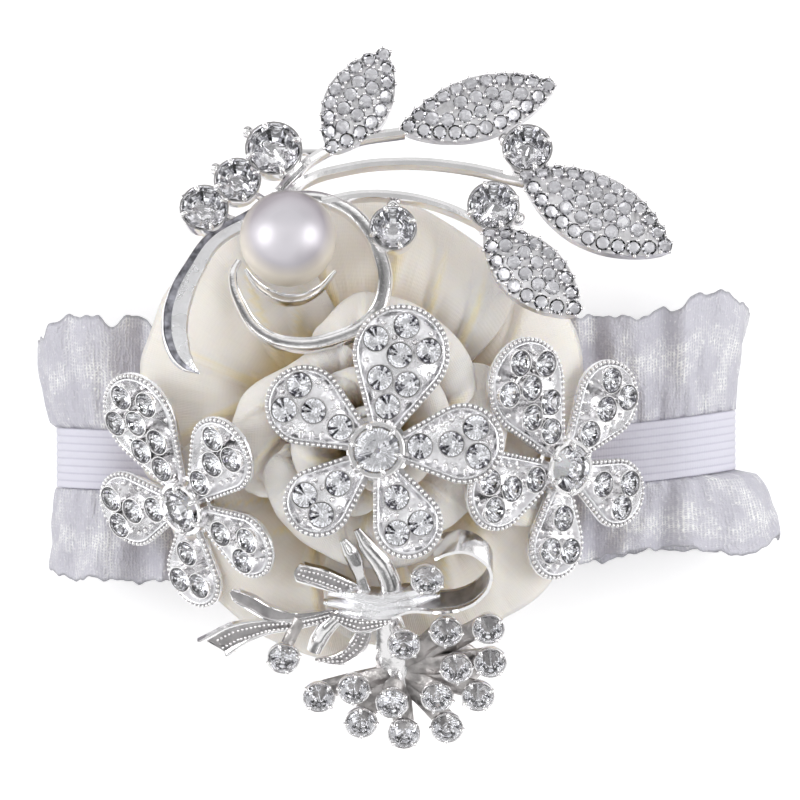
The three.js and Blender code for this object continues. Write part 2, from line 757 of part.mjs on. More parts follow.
function sprayCasting(at, frames) {
  const line = (pixels) => pixels.map((place) => at(place));
  const trays = leaves.map(({ halfWidth }, i) => setLeaf(
    plate(leafOutline(frames[i], halfWidth), leafWallHeight + leafRimWidth), frames[i]));
  const leafWells = leaves.map(({ halfWidth }, i) => setLeaf(
    plate(leafInside(frames[i], halfWidth, leafRimWidth), leafWallHeight), frames[i])
    .translate(0, 0, leafWallHeight));
  const wires = stems.map((pixels) => bar(line(pixels), halfRoundShares, stemWidth, stemHeight, stemSteps));
  const horn = bar(
    hornPixels.map((place, i) => at(place, -hornDrop * (i / (hornPixels.length - 1)) ** 2)),
    halfRoundShares, hornWidth, stemHeight, stemSteps, hornShareAt);
  const scroll = bar(line(scrollPixels), halfRoundShares, scrollWidth, scrollHeight, scrollSteps);
  const crescent = bar(line(crescentPixels), halfRoundShares, crescentWidth, scrollHeight, stemSteps);
  const links = sprayLinks.map((pixels) => bar(line(pixels), flatShares, linkWidth, cupFloor, linkSteps));
  const cups = sprayStones.flatMap(({ pixels, radius, ballPixels }) => {
    const foot = at(pixels, stoneSeatZ).setZ(0);
    const ballFoot = at(ballPixels, stoneSeatZ).setZ(0);
    const ball = new THREE.SphereGeometry(ballRadius, ballSides, ballRings)
      .translate(ballFoot.x, ballFoot.y, ballRadius);
    const reach = bar([foot, ballFoot], flatShares, ballRadius, cupFloor, linkSteps);
    return [stoneCup(radius, stoneSides).translate(foot.x, foot.y, 0), ball, reach];
  });
  const stoneWells = sprayStones.map(({ pixels, radius }) => {
    const foot = at(pixels, stoneSeatZ);
    const reach = radius + fitGap + cutOverrun;
    return turned([[0, 0], [reach, 0], [reach, reach], [0, reach]], stoneSides)
      .translate(foot.x, foot.y, cupFloor - cutOverrun);
  });
  const pearlFoot = at(pearlPixels, pearlRadius).setZ(0);
  const dish = pearlDish().translate(pearlFoot.x, pearlFoot.y, 0);
  const pearlLink = bar([pearlFoot, at(hornPixels[0])], flatShares, hornWidth, cupFloor, linkSteps);
  const room = new THREE.SphereGeometry(pearlRadius + fitGap, pearlSides, pearlRings).rotateX(Math.PI / 2)
    .translate(pearlFoot.x, pearlFoot.y, pearlCentreZ);
  const parts = [...trays, ...wires, horn, scroll, crescent, ...links, ...cups, dish, pearlLink];
  return [room, ...leafWells, ...stoneWells]
    .reduce((whole, cut) => whole.subtract(solidOf(cut)), solidOf(joined(parts)));
}

// The pearl's dish: a shallow bowl, and the pearl's centre above the brooch's back plane.
const pearlCentreZ = pearlRadius + fitGap + pearlDishWall;
function pearlDish() {
  const outer = (pearlRadius + fitGap) * pearlDishShare;
  return turned([[0, 0], [outer * stoneFootShare, 0], [outer, scrollHeight], [0, scrollHeight]], pearlSides);
}

const spray = leaningBrooch(sprayCentrePixels, sprayLean);
const leafFrames = leaves.map(({ basePixels, tipPixels }) => leafFrame(
  spray.at(basePixels), spray.at(tipPixels)));
const sprayMetal = geometryOf(sprayCasting(spray.at, leafFrames));
seatOnRose(spray.group, sprayMetal);
corsage.add(spray.group);
addPiece(spray.group, "spray_casting", sprayMetal, "silver");
leaves.forEach(({ halfWidth }, i) => {
  const frame = leafFrames[i];
  const outline = leafInside(frame, halfWidth, leafRimWidth + fitGap);
  const set = joined([leafDome(outline, frame.length, leafDomeHeight), ...paveStones(frame, halfWidth)]);
  const piece = addPiece(spray.group, `leaf_pave_${i + 1}`, setLeaf(set, frame), "crystal");
  piece.position.z = leafWallHeight + fitGap;
});
const pearlSpot = spray.at(pearlPixels, pearlRadius);
const pearlBall = new THREE.SphereGeometry(pearlRadius, pearlSides, pearlRings).rotateX(Math.PI / 2);
addPiece(spray.group, "pearl", pearlBall, "pearl").position.set(pearlSpot.x, pearlSpot.y, pearlCentreZ);
sprayStones.forEach(({ pixels, radius }, i) => {
  const place = spray.at(pixels, stoneSeatZ);
  const gem = addPiece(spray.group, `spray_stone_${i + 1}`, stone(radius, stoneSides), "crystal");
  gem.position.set(place.x, place.y, stoneSeatZ);
});

// Bow brooch.
const bow = leaningBrooch(bowCentrePixels, bowLean);
const bunchStones = bunchPixels.map((pixels) => ({ pixels, rootPixels: stalkRootPixels }));
const bowStones = [...bowSideStones, ...bunchStones];

function bowCasting(at) {
  const line = (pixels) => pixels.map((place) => at(place));
  const knotEnds = [-1, 1].map((side) => at(bowCentrePixels).setX((side * knotLength) / 2));
  const knot = bar(knotEnds, halfRoundShares, knotWidth, bandStand + ribbonThickness, linkSteps);
  const loop = bar(line(bowLoopPixels), flatShares, ribbonThickness, bandStand, bowLoopSteps);
  const ribbons = bowRibbons.map(({ width, pixels }) => bar(
    line(pixels), flatShares, width, ribbonThickness, ribbonSteps));
  const beadFrame = leafFrame(at(beadLeafPixels[0]), at(beadLeafPixels[1]));
  const beadLeaf = setLeaf(plate(leafOutline(beadFrame, beadLeafHalfWidth), bandStand), beadFrame);
  const stalks = bowStones.map(({ pixels, rootPixels }) => {
    const end = at(pixels, bowCupStand);
    const root = at(rootPixels);
    const middle = root.clone().lerp(end, 0.5).setZ(bowCupStand * stalkRiseShare);
    return bar([root, middle, end], flatShares, stalkWidth, cupFloor, stalkSteps);
  });
  const seats = bowStones.map(({ pixels }) => {
    const place = at(pixels, bowCupStand);
    return stoneSeat(bowStoneRadius).translate(place.x, place.y, place.z);
  });
  return joined([knot, loop, ...ribbons, beadLeaf, ...stalks, ...seats]);
}

const bowMetal = bowCasting(bow.at);
seatOnRose(bow.group, bowMetal);
corsage.add(bow.group);
addPiece(bow.group, "bow_casting", bowMetal, "silver");
bowStones.forEach(({ pixels }, i) => {
  const place = bow.at(pixels, bowCupStand);
  const gem = addPiece(bow.group, `bow_stone_${i + 1}`, stone(bowStoneRadius, stoneSides), "crystal");
  gem.position.set(place.x, place.y, place.z + stoneSeatZ);
});

export default corsage;
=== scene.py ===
"""Wrist corsage: a folded satin rose with five rhinestone brooches on a ruffled elastic band.

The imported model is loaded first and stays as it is. Each class below models the pieces of one
sub-assembly round it, gives them their finishes and hides the plain solids that they stand for.
Sizes are in millimetres, and a piece is turned into metres when it is set in its place.
"""

from __future__ import annotations

import logging
import math
import random
import sys
from dataclasses import dataclass
from enum import Enum
from functools import cache
from typing import Callable, Iterable, Sequence

import bmesh
import bpy
from mathutils import Matrix, Vector


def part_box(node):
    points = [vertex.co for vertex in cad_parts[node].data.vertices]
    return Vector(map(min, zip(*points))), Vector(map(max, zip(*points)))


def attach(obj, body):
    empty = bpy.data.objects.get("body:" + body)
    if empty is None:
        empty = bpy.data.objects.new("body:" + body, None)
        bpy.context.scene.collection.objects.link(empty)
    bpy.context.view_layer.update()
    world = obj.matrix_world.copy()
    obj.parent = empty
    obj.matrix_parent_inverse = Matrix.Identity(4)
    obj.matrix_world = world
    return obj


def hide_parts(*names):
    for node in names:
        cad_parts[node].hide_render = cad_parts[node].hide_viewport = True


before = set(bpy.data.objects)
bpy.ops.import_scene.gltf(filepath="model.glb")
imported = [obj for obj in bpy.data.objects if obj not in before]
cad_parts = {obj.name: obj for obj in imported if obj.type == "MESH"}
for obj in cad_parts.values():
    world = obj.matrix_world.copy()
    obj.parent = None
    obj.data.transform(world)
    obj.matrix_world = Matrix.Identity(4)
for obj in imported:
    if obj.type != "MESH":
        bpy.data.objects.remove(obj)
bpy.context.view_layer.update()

MM = 0.001
BODY = "root"
PIXEL = 0.14
ORIGIN_PIXELS = (370, 466)
GOLDEN_ANGLE = math.radians(137.508)
MERGE_DISTANCE = 0.001
RING_GAP = 0.001
BAR_STEPS = 10
SMOOTH_DEGREES = 40
STONE_HEIGHT_SHARE = 0.8
GIRDLE_SHARE = 0.42

Pair = tuple[float, float]
Triple = tuple[float, float, float]
Pixels = Pair
Piece = bpy.types.Object
Socket = bpy.types.NodeSocket
log = logging.getLogger("corsage")


def plan(pixels: Pixels) -> Vector:
    """Returns the place of a photo pixel in the plan, in millimetres."""
    return Vector(((pixels[0] - ORIGIN_PIXELS[0]) * PIXEL, (ORIGIN_PIXELS[1] - pixels[1]) * PIXEL, 0))


def lerp(start: float, end: float, share: float) -> float:
    """Returns the value at a share of the way from start to end."""
    return start + (end - start) * share


def stepped(values: Sequence[float], share: float) -> float:
    """Returns the value at a share of the way through evenly spaced values."""
    index = min(len(values) - 2, math.floor(share * (len(values) - 1)))
    return lerp(values[index], values[index + 1], share * (len(values) - 1) - index)


def eased(points: Sequence[Pair], x: float) -> float:
    """Reads a line through points, with an eased step between each two.

    Args:
        points: the x and the value of each point.
        x: the place.

    Returns:
        The value there.
    """
    for (before, low), (after, high) in zip(points, points[1:]):
        if x <= after:
            share = (x - before) / (after - before)
            return lerp(low, high, share * share * (3 - 2 * share))
    return points[-1][1]


def deselect() -> None:
    """Leaves edit mode and deselects everything."""
    if bpy.context.mode != "OBJECT":
        bpy.ops.object.mode_set(mode="OBJECT")
    bpy.ops.object.select_all(action="DESELECT")


def take(obj: Piece) -> Piece:
    """Makes one object the only selected and active one, and returns it.

    Args:
        obj: the object.

    Returns:
        The same object.
    """
    deselect()
    obj.select_set(True)
    bpy.context.view_layer.objects.active = obj
    return obj


def joined(parts: Sequence[Piece]) -> Piece:
    """Joins objects into the first one and returns it.

    Args:
        parts: the objects.

    Returns:
        The first one, with all their meshes.
    """
    take(parts[0])
    for part in parts:
        part.select_set(True)
    bpy.ops.object.join()
    return bpy.context.view_layer.objects.active


def with_modifier(obj: Piece, kind: str, **settings: object) -> Piece:
    """Adds a modifier with its settings, applies it and returns the object.

    Args:
        obj: the object.
        kind: the modifier's type.
        settings: its properties.

    Returns:
        The object.
    """
    take(obj)
    modifier = obj.modifiers.new(kind.title(), kind)
    for name, value in settings.items():
        setattr(modifier, name, value)
    bpy.ops.object.modifier_apply(modifier=modifier.name)
    return obj


def smooth(obj: Piece, degrees: float) -> Piece:
    """Shades an object smooth, with creases past an angle, and returns it.

    Args:
        obj: the object.
        degrees: the angle past which an edge stays sharp.

    Returns:
        The object.
    """
    take(obj)
    bpy.ops.object.shade_smooth_by_angle(angle=math.radians(degrees))
    return obj


def edited(obj: Piece, *tools: Callable[[], object]) -> Piece:
    """Runs edit-mode tools on an object, each with all of it selected.

    Args:
        obj: the object.
        tools: the tools, in their order.

    Returns:
        The object.
    """
    take(obj)
    bpy.ops.object.mode_set(mode="EDIT")
    for tool in tools:
        bpy.ops.mesh.select_all(action="SELECT")
        tool()
    bpy.ops.object.mode_set(mode="OBJECT")
    return obj


def merge() -> None:
    """Merges the selected points that lie on each other."""
    bpy.ops.mesh.remove_doubles(threshold=MERGE_DISTANCE)


def face_out() -> None:
    """Turns the selected faces outwards."""
    bpy.ops.mesh.normals_make_consistent(inside=False)


def moved(obj: Piece, place: Matrix | Vector) -> Piece:
    """Moves an object's mesh by a matrix, or to a spot, and returns the object."""
    obj.data.transform(place if isinstance(place, Matrix) else Matrix.Translation(place))
    return obj


def painted(obj: Piece, name: str, values: Sequence[float]) -> Piece:
    """Gives each point of an object its value of a named attribute, and returns the object."""
    obj.data.attributes.new(name, "FLOAT", "POINT").data.foreach_set("value", values)
    return obj


def linked(name: str, data: bpy.types.ID) -> Piece:
    """Makes an object of a mesh or a curve and links it to the scene.

    Args:
        name: its name.
        data: its mesh or curve.

    Returns:
        The object.
    """
    obj = bpy.data.objects.new(name, data)
    bpy.context.scene.collection.objects.link(obj)
    return obj


def mesh_object(
    name: str, points: Iterable[Vector], faces: Iterable[Sequence[int]], edges: Iterable[Sequence[int]] = ()
) -> Piece:
    """Makes an object from points and faces.

    Args:
        name: its name.
        points: its vertices.
        faces: its faces, as vertex numbers.
        edges: its loose edges.

    Returns:
        The object.
    """
    mesh = bpy.data.meshes.new(name)
    mesh.from_pydata([tuple(point) for point in points], list(edges), [tuple(face) for face in faces])
    return linked(name, mesh)


def grid_faces(columns: int, rows: int, looped: bool = False, closed: bool = False) -> list[tuple[int, ...]]:
    """Lists the faces of a grid of points, column by column.

    Args:
        columns: the columns of points.
        rows: the points of a column.
        looped: whether the last column joins the first.
        closed: whether the last row joins the first.

    Returns:
        The faces, as point numbers.
    """
    faces = []
    for i in range(columns if looped else columns - 1):
        here, ahead = i * rows, (i + 1) % columns * rows
        for j in range(rows if closed else rows - 1):
            above = (j + 1) % rows
            faces.append((here + j, ahead + j, ahead + above, here + above))
    return faces


def stamped(pattern: Piece, places: Iterable[Matrix]) -> Piece:
    """Copies one modelled shape to many places as a single mesh, and removes the pattern.

    Args:
        pattern: the shape, modelled at the origin.
        places: a matrix for each copy.

    Returns:
        One object that holds every copy.
    """
    whole = bmesh.new()
    for place in places:
        copy = pattern.data.copy()
        copy.transform(place)
        whole.from_mesh(copy)
        bpy.data.meshes.remove(copy)
    mesh = bpy.data.meshes.new(pattern.name)
    whole.to_mesh(mesh)
    whole.free()
    for material_used in pattern.data.materials:
        mesh.materials.append(material_used)
    obj = linked(pattern.name, mesh)
    bpy.data.objects.remove(pattern)
    return obj


def spaced(points: Sequence[Vector], pitch: float) -> list[tuple[Vector, Vector]]:
    """Places points at an even pitch along a line of points.

    Args:
        points: the line.
        pitch: the wanted distance, which is fitted to the line's length.

    Returns:
        A place and the direction of the line there, for each point.
    """
    steps = [(b - a).length for a, b in zip(points, points[1:])]
    count = max(1, round(sum(steps) / pitch))
    found = []
    for k in range(count + 1):
        left = sum(steps) * k / count
        for i, step in enumerate(steps):
            if left <= step or i == len(steps) - 1:
                along = points[i + 1] - points[i]
                found.append((points[i] + along * (left / step), along.normalized()))
                break
            left -= step
    return found


def clear_of(spot: Vector, others: Iterable[Vector], room: float) -> bool:
    """Tells whether a place is farther than some room from all the others."""
    return all((spot - other).length > room for other in others)


class Workpiece:
    """One mesh on the bench, shaped with the edit-mode tools. The picked faces stay picked."""

    def __init__(self, obj: Piece) -> None:
        """Takes an object on to the bench."""
        self.obj = take(obj)

    @classmethod
    def circle(cls, sides: int, radius: float, at: Vector = Vector()) -> Workpiece:
        """Starts from a filled circle.

        Args:
            sides: its sides.
            radius: its radius.
            at: its middle.

        Returns:
            The workpiece.
        """
        deselect()
        bpy.ops.mesh.primitive_circle_add(vertices=sides, radius=radius, fill_type="NGON", location=at)
        bpy.ops.object.transform_apply(location=True, rotation=True, scale=True)
        return cls(bpy.context.active_object)

    @classmethod
    def outline(cls, points: Sequence[Vector]) -> Workpiece:
        """Starts from a filled circle whose corners are then set on an outline.

        Args:
            points: the corners, in their order round it.

        Returns:
            The workpiece.
        """
        work = cls.circle(len(points), 1)
        for vertex, point in zip(work.obj.data.vertices, points):
            vertex.co = point
        return work

    def pick(self, test: Callable[[Vector], bool], corners: bool = False) -> Workpiece:
        """Selects the faces, or the corners, whose place passes a test.

        Args:
            test: tells from a place whether it is picked.
            corners: whether corners are picked.

        Returns:
            The workpiece, in edit mode.
        """
        take(self.obj)
        mesh = self.obj.data
        for group in (mesh.vertices, mesh.edges, mesh.polygons):
            group.foreach_set("select", [False] * len(group))
        bpy.context.tool_settings.mesh_select_mode = (corners, False, not corners)
        for item in mesh.vertices if corners else mesh.polygons:
            item.select = test(item.co if corners else item.center)
        bpy.ops.object.mode_set(mode="EDIT")
        return self

    def resize(self, factors: Triple, centre: Vector = Vector()) -> Workpiece:
        """Scales what is picked about a centre."""
        bpy.ops.transform.resize(value=factors, center_override=centre)
        return self

    def move(self, by: Vector) -> Workpiece:
        """Moves what is picked."""
        bpy.ops.transform.translate(value=by)
        return self

    def extrude(self, rise: float) -> Workpiece:
        """Extrudes what is picked upwards."""
        bpy.ops.mesh.extrude_region_move(TRANSFORM_OT_translate={"value": (0, 0, rise)})
        return self

    def inset(self, width: float, rise: float = 0) -> Workpiece:
        """Insets the picked face and raises or sinks the inner one."""
        bpy.ops.mesh.inset(thickness=width, depth=0)
        return self.move(Vector((0, 0, rise)))

    def ring(self) -> Workpiece:
        """Puts a new ring of corners just inside the picked face's edge."""
        return self.inset(RING_GAP)

    def done(self) -> Piece:
        """Closes edit mode, turns the faces outwards and returns the object."""
        return edited(self.obj, face_out)


def turned(profile: Sequence[Pair], steps: int) -> Piece:
    """Spins a profile round the Z axis into a closed solid.

    Args:
        profile: the radius and height of each point.
        steps: steps round the axis.

    Returns:
        The solid.
    """
    points = [Vector((radius, 0, height)) for radius, height in profile]
    line = mesh_object("Turned", points, [], zip(range(len(points)), range(1, len(points))))
    return edited(
        line, lambda: bpy.ops.mesh.spin(steps=steps, angle=math.tau, center=(0, 0, 0), axis=(0, 0, 1)),
        merge, face_out)


def ball(radius: float, at: Vector = Vector(), segments: int = 12, rings: int = 8) -> Piece:
    """Adds a smooth ball.

    Args:
        radius: its radius.
        at: its middle.
        segments: its sides.
        rings: its rings.

    Returns:
        The ball.
    """
    deselect()
    bpy.ops.mesh.primitive_uv_sphere_add(segments=segments, ring_count=rings, radius=radius, location=at)
    bpy.ops.object.transform_apply(location=True, rotation=True, scale=True)
    bpy.ops.object.shade_smooth()
    return bpy.context.active_object


class Section(Enum):
    """The cross-sections of cast bars, as shares of half the width and of the height."""

    HALF_ROUND = ((-1, 0), (-0.96, 0.45), (-0.65, 0.86), (0, 1), (0.65, 0.86), (0.96, 0.45), (1, 0))
    FLAT = ((-1, 0), (-1, 0.82), (-0.88, 1), (0.88, 1), (1, 0.82), (1, 0))
    RIMMED = (
        (-1, 0), (-1, 0.92), (-0.9, 1), (-0.78, 0.97), (-0.7, 0.8), (0, 0.86),
        (0.7, 0.8), (0.78, 0.97), (0.9, 1), (1, 0.92), (1, 0),
    )
    BAND = ((-1, 0), (-1, 0.75), (-0.86, 0.95), (0, 1), (0.86, 0.92), (1, 0.7), (1, 0))
    CHANNEL = (
        (-1, 0), (-1, 0.88), (-0.9, 1), (-0.76, 0.9), (-0.62, 0.5), (0, 0.38),
        (0.62, 0.5), (0.76, 0.9), (0.9, 1), (1, 0.88), (1, 0),
    )


def shifted(route: Sequence[Vector], offsets: Sequence[float]) -> list[Vector]:
    """Moves the points of a route sideways, to the right of its direction.

    Args:
        route: the points.
        offsets: how far each point moves.

    Returns:
        The moved points.
    """
    last = len(route) - 1
    places = []
    for i, (point, offset) in enumerate(zip(route, offsets)):
        along = (route[min(i + 1, last)] - route[max(i - 1, 0)]).normalized()
        places.append(point + Vector((along.y, -along.x, 0)) * offset)
    return places


def bar(
    route: Sequence[Vector],
    section: Section,
    width: float,
    height: float,
    taper: Callable[[float], float] = lambda share: 1.0,
) -> Piece:
    """Draws a bar along a route, flat on its back.

    Args:
        route: the points that it follows, on its back face.
        section: the shape of its cross-section.
        width: its full width.
        height: its height above the route.
        taper: its size at a share of the route, as a share of the full size.

    Returns:
        The bar as a closed mesh.
    """
    deselect()
    shares = section.value
    profile_data = bpy.data.curves.new("Section", "CURVE")
    profile_data.dimensions = "2D"
    spline = profile_data.splines.new("POLY")
    spline.points.add(len(shares) - 1)
    for point, (across, up) in zip(spline.points, shares):
        point.co = (across * width / 2, up * height, 0, 1)
    spline.use_cyclic_u = True
    profile = linked("Section", profile_data)

    bpy.ops.curve.primitive_bezier_curve_add()
    curve = bpy.context.active_object
    curve.data.twist_mode = "Z_UP"
    curve.data.bevel_mode = "OBJECT"
    curve.data.bevel_object = profile
    curve.data.use_fill_caps = True
    curve.data.resolution_u = BAR_STEPS
    line = curve.data.splines[0]
    line.bezier_points.add(len(route) - len(line.bezier_points))
    for i, (point, place) in enumerate(zip(line.bezier_points, route)):
        point.co = place
        point.handle_left_type = point.handle_right_type = "AUTO"
        point.radius = taper(i / (len(route) - 1))
    take(curve)
    bpy.ops.object.convert(target="MESH")
    bpy.data.objects.remove(profile)
    return smooth(edited(bpy.context.active_object, merge, face_out), SMOOTH_DEGREES)


class NodeSheet:
    """The shader nodes of one material, or of the world."""

    def __init__(self, name: str, world: bool = False) -> None:
        """Starts a material with its principled shader, or the world with its background.

        Args:
            name: its name.
            world: whether it is the world.
        """
        self.owner = (bpy.data.worlds if world else bpy.data.materials).new(name)
        self.owner.use_nodes = True
        self.tree = self.owner.node_tree
        self.shader = self.tree.nodes["Background" if world else "Principled BSDF"]

    def set(self, **values: object) -> NodeSheet:
        """Sets constants on the shader.

        Args:
            values: the constants, by socket name with _ for a space.

        Returns:
            The sheet.
        """
        for name, value in values.items():
            self.shader.inputs[name.replace("_", " ")].default_value = value
        return self

    def node(
        self, kind: str, inputs: dict[str | int, object] | None = None, **settings: object
    ) -> bpy.types.Node:
        """Adds a node.

        Args:
            kind: the node's type.
            inputs: a constant or a link for each input.
            settings: its properties.

        Returns:
            The node.
        """
        made = self.tree.nodes.new(kind)
        for name, value in settings.items():
            setattr(made, name, value)
        for key, value in (inputs or {}).items():
            if isinstance(value, Socket):
                self.tree.links.new(value, made.inputs[key])
            else:
                made.inputs[key].default_value = value
        return made

    def link(self, socket: Socket, name: str) -> None:
        """Links a socket to an input of the shader."""
        self.tree.links.new(socket, self.shader.inputs[name])

    def place(self, scale: Triple = (1, 1, 1), uv: bool = False) -> Socket:
        """Gives the object's own coordinates, or its UV map's, times a scale."""
        source = self.node("ShaderNodeTexCoord").outputs["UV" if uv else "Object"]
        return self.node("ShaderNodeMapping", {"Vector": source, "Scale": scale}).outputs[0]

    def noise(
        self, scale: float, detail: float, stretch: Triple | None = None, wander: float = 0
    ) -> Socket:
        """Gives a noise value.

        Args:
            scale: repeats a metre, or a millimetre where it is stretched along the cloth.
            detail: its octaves.
            stretch: the scale along each direction of the cloth.
            wander: how far it is distorted.

        Returns:
            The noise, about 0.5.
        """
        at = self.place(stretch, uv=True) if stretch else self.place()
        return self.node(
            "ShaderNodeTexNoise", {"Vector": at, "Scale": scale, "Detail": detail, "Distortion": wander}
        ).outputs["Fac"]

    def drift(self, scale: float, detail: float, amount: float) -> Socket:
        """Gives a noise value about nought, times an amount."""
        return self.math("MULTIPLY", self.math("SUBTRACT", self.noise(scale, detail), 0.5), amount)

    def wave(
        self, direction: str, scale: float, stretch: Triple, wander: float, detail: float = 1, fine: float = 1
    ) -> Socket:
        """Gives the threads that run across one direction of the cloth.

        Args:
            direction: X or Y.
            scale: threads in about 3 mm.
            stretch: the scale along each direction.
            wander: how far the threads stray.
            detail: how finely they do.
            fine: the scale of that detail.

        Returns:
            The wave, from 0 to 1.
        """
        inputs = {"Scale": scale, "Distortion": wander, "Detail": detail, "Detail Scale": fine}
        return self.node(
            "ShaderNodeTexWave", {"Vector": self.place(stretch, uv=True), **inputs}, bands_direction=direction
        ).outputs["Fac"]

    def attribute(self, name: str) -> Socket:
        """Gives the mesh's own attribute."""
        return self.node("ShaderNodeAttribute", attribute_name=name).outputs["Fac"]

    def facing(self, blend: float) -> Socket:
        """Gives how far the surface turns away from a ray."""
        return self.node("ShaderNodeLayerWeight", {"Blend": blend}).outputs["Facing"]

    def ramp(self, value: Socket, *stops: tuple[float, float | Triple]) -> Socket:
        """Maps a value through stops of a colour or a grey.

        Args:
            value: the value.
            stops: a place and a colour or grey for each stop.

        Returns:
            The colour.
        """
        made = self.node("ShaderNodeValToRGB", {"Fac": value})
        elements = made.color_ramp.elements
        while len(elements) < len(stops):
            elements.new(1)
        for element, (position, colour) in zip(elements, stops):
            element.position = position
            element.color = (*(colour if isinstance(colour, tuple) else (colour,) * 3), 1)
        return made.outputs["Color"]

    def mix(self, factor: object, first: Socket, second: object, blend: str = "MIX") -> Socket:
        """Mixes two colours.

        Args:
            factor: the share of the second.
            first: the first colour.
            second: the second colour.
            blend: how they are mixed.

        Returns:
            The mixed colour.
        """
        return self.node(
            "ShaderNodeMix", {"Factor": factor, "A": first, "B": second}, data_type="RGBA", blend_type=blend
        ).outputs["Result"]

    def span(self, value: Socket, low: float, high: float, source: Pair = (0, 1)) -> Socket:
        """Maps a value from its own span on to another one."""
        ends = {"From Min": source[0], "From Max": source[1], "To Min": low, "To Max": high}
        return self.node("ShaderNodeMapRange", {"Value": value, **ends}).outputs[0]

    def math(self, operation: str, first: object, second: object = 0.0) -> Socket:
        """Gives the result of a sum on two values."""
        return self.node("ShaderNodeMath", {0: first, 1: second}, operation=operation).outputs[0]

    def vector(
        self, operation: str, first: Socket, second: object = (0, 0, 0), output: str = "Vector"
    ) -> Socket:
        """Gives the result of a sum on two vectors."""
        return self.node("ShaderNodeVectorMath", {0: first, 1: second}, operation=operation).outputs[output]

    def bump(self, height: Socket, strength: float, distance: float) -> None:
        """Raises the surface by a height value, a distance given in millimetres."""
        inputs = {"Height": height, "Strength": strength, "Distance": distance * MM}
        self.link(self.node("ShaderNodeBump", inputs).outputs[0], "Normal")


def toned(colour: Triple, share: float) -> Triple:
    """Returns a colour at a share of its brightness."""
    return tuple(value * share for value in colour)


@dataclass(frozen=True)
class SilverPlate:
    """Bright silver plate over a casting, with cast grain and uneven polish."""

    name: str
    colour: Triple = (0.93, 0.92, 0.925)
    roughness: Pair = (0.08, 0.24)
    grain: float = 900.0
    relief: float = 0.05
    patch: float = 240.0
    patch_tone: float = 0.9

    def make(self) -> bpy.types.Material:
        """Makes the plate.

        Returns:
            The material.
        """
        sheet = NodeSheet(self.name).set(Metallic=1.0)
        patches = sheet.noise(self.patch, 2)
        tone = toned(self.colour, self.patch_tone)
        sheet.link(sheet.ramp(patches, (0.35, tone), (0.62, self.colour)), "Base Color")
        sheet.link(sheet.span(patches, *self.roughness), "Roughness")
        sheet.bump(sheet.noise(self.grain, 4), 0.6, self.relief)
        return sheet.owner


@dataclass(frozen=True)
class Crystal:
    """Clear cut glass of a rhinestone, with faint streaks in its polish."""

    colour: Triple = (0.97, 0.975, 1.0)

    def make(self) -> bpy.types.Material:
        """Makes the glass.

        Returns:
            The material.
        """
        sheet = NodeSheet("crystal").set(Transmission_Weight=1.0, IOR=1.55, Base_Color=(*self.colour, 1))
        sheet.link(sheet.span(sheet.noise(700, 2), 0.0, 0.05), "Roughness")
        return sheet.owner


@dataclass(frozen=True)
class Foil:
    """Mirror foil on the back of a rhinestone, a little darker in patches; its dark and grey copies are
    painted reflections.
    """

    name: str = "foil"
    colour: Triple = (0.98, 0.98, 0.99)

    def make(self) -> bpy.types.Material:
        """Makes the foil.

        Returns:
            The material.
        """
        sheet = NodeSheet(self.name).set(Metallic=1.0, Roughness=0.04)
        stops = (0.4, toned(self.colour, 0.9)), (0.55, self.colour)
        sheet.link(sheet.ramp(sheet.noise(500, 2), *stops), "Base Color")
        return sheet.owner


@dataclass(frozen=True)
class PearlCoat:
    """Lacquer of an imitation pearl, with painted light: bright in its middle as seen, darker and rosy
    towards its edge, with a painted cream reflection of the satin on its lower side.
    """

    painted_lit_heart: Triple = (0.68, 0.655, 0.7)
    middle: Triple = (0.36, 0.325, 0.36)
    edge: Triple = (0.2, 0.165, 0.185)
    painted_warm_light: Triple = (0.82, 0.76, 0.66)
    satin_reflection_shift: float = 0.2

    def make(self) -> bpy.types.Material:
        """Makes the lacquer.

        Returns:
            The material.
        """
        sheet = NodeSheet("pearl_coat").set(
            Metallic=0.45, Roughness=0.42, Coat_Weight=0.45, Coat_Roughness=0.36)
        # painted shade by the view: the colour runs from bright in the middle to dark at the edge, with
        # drifting noise
        depth = sheet.math("ADD", sheet.facing(0.4), sheet.drift(110, 1, 0.7))
        tone = sheet.ramp(depth, (0.08, self.painted_lit_heart), (0.42, self.middle), (0.8, self.edge))
        # painted reflection of the satin: a cream ring, widest on the lower side
        low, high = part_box("pearl")
        radius = (high - low).x / 2
        middle = (low + high) / 2 + Vector((0, radius * self.satin_reflection_shift, 0))
        away = sheet.vector("SUBTRACT", sheet.place(), middle)
        flat = sheet.vector("MULTIPLY", away, Vector((1 / radius, 1 / radius, 0)))
        satin_reflection = sheet.ramp(sheet.vector("LENGTH", flat, output="Value"), (0.76, 0.0), (1.0, 0.9))
        sheet.link(sheet.mix(satin_reflection, tone, (*self.painted_warm_light, 1)), "Base Color")
        sheet.bump(sheet.noise(1500, 2), 0.1, 0.02)
        return sheet.owner


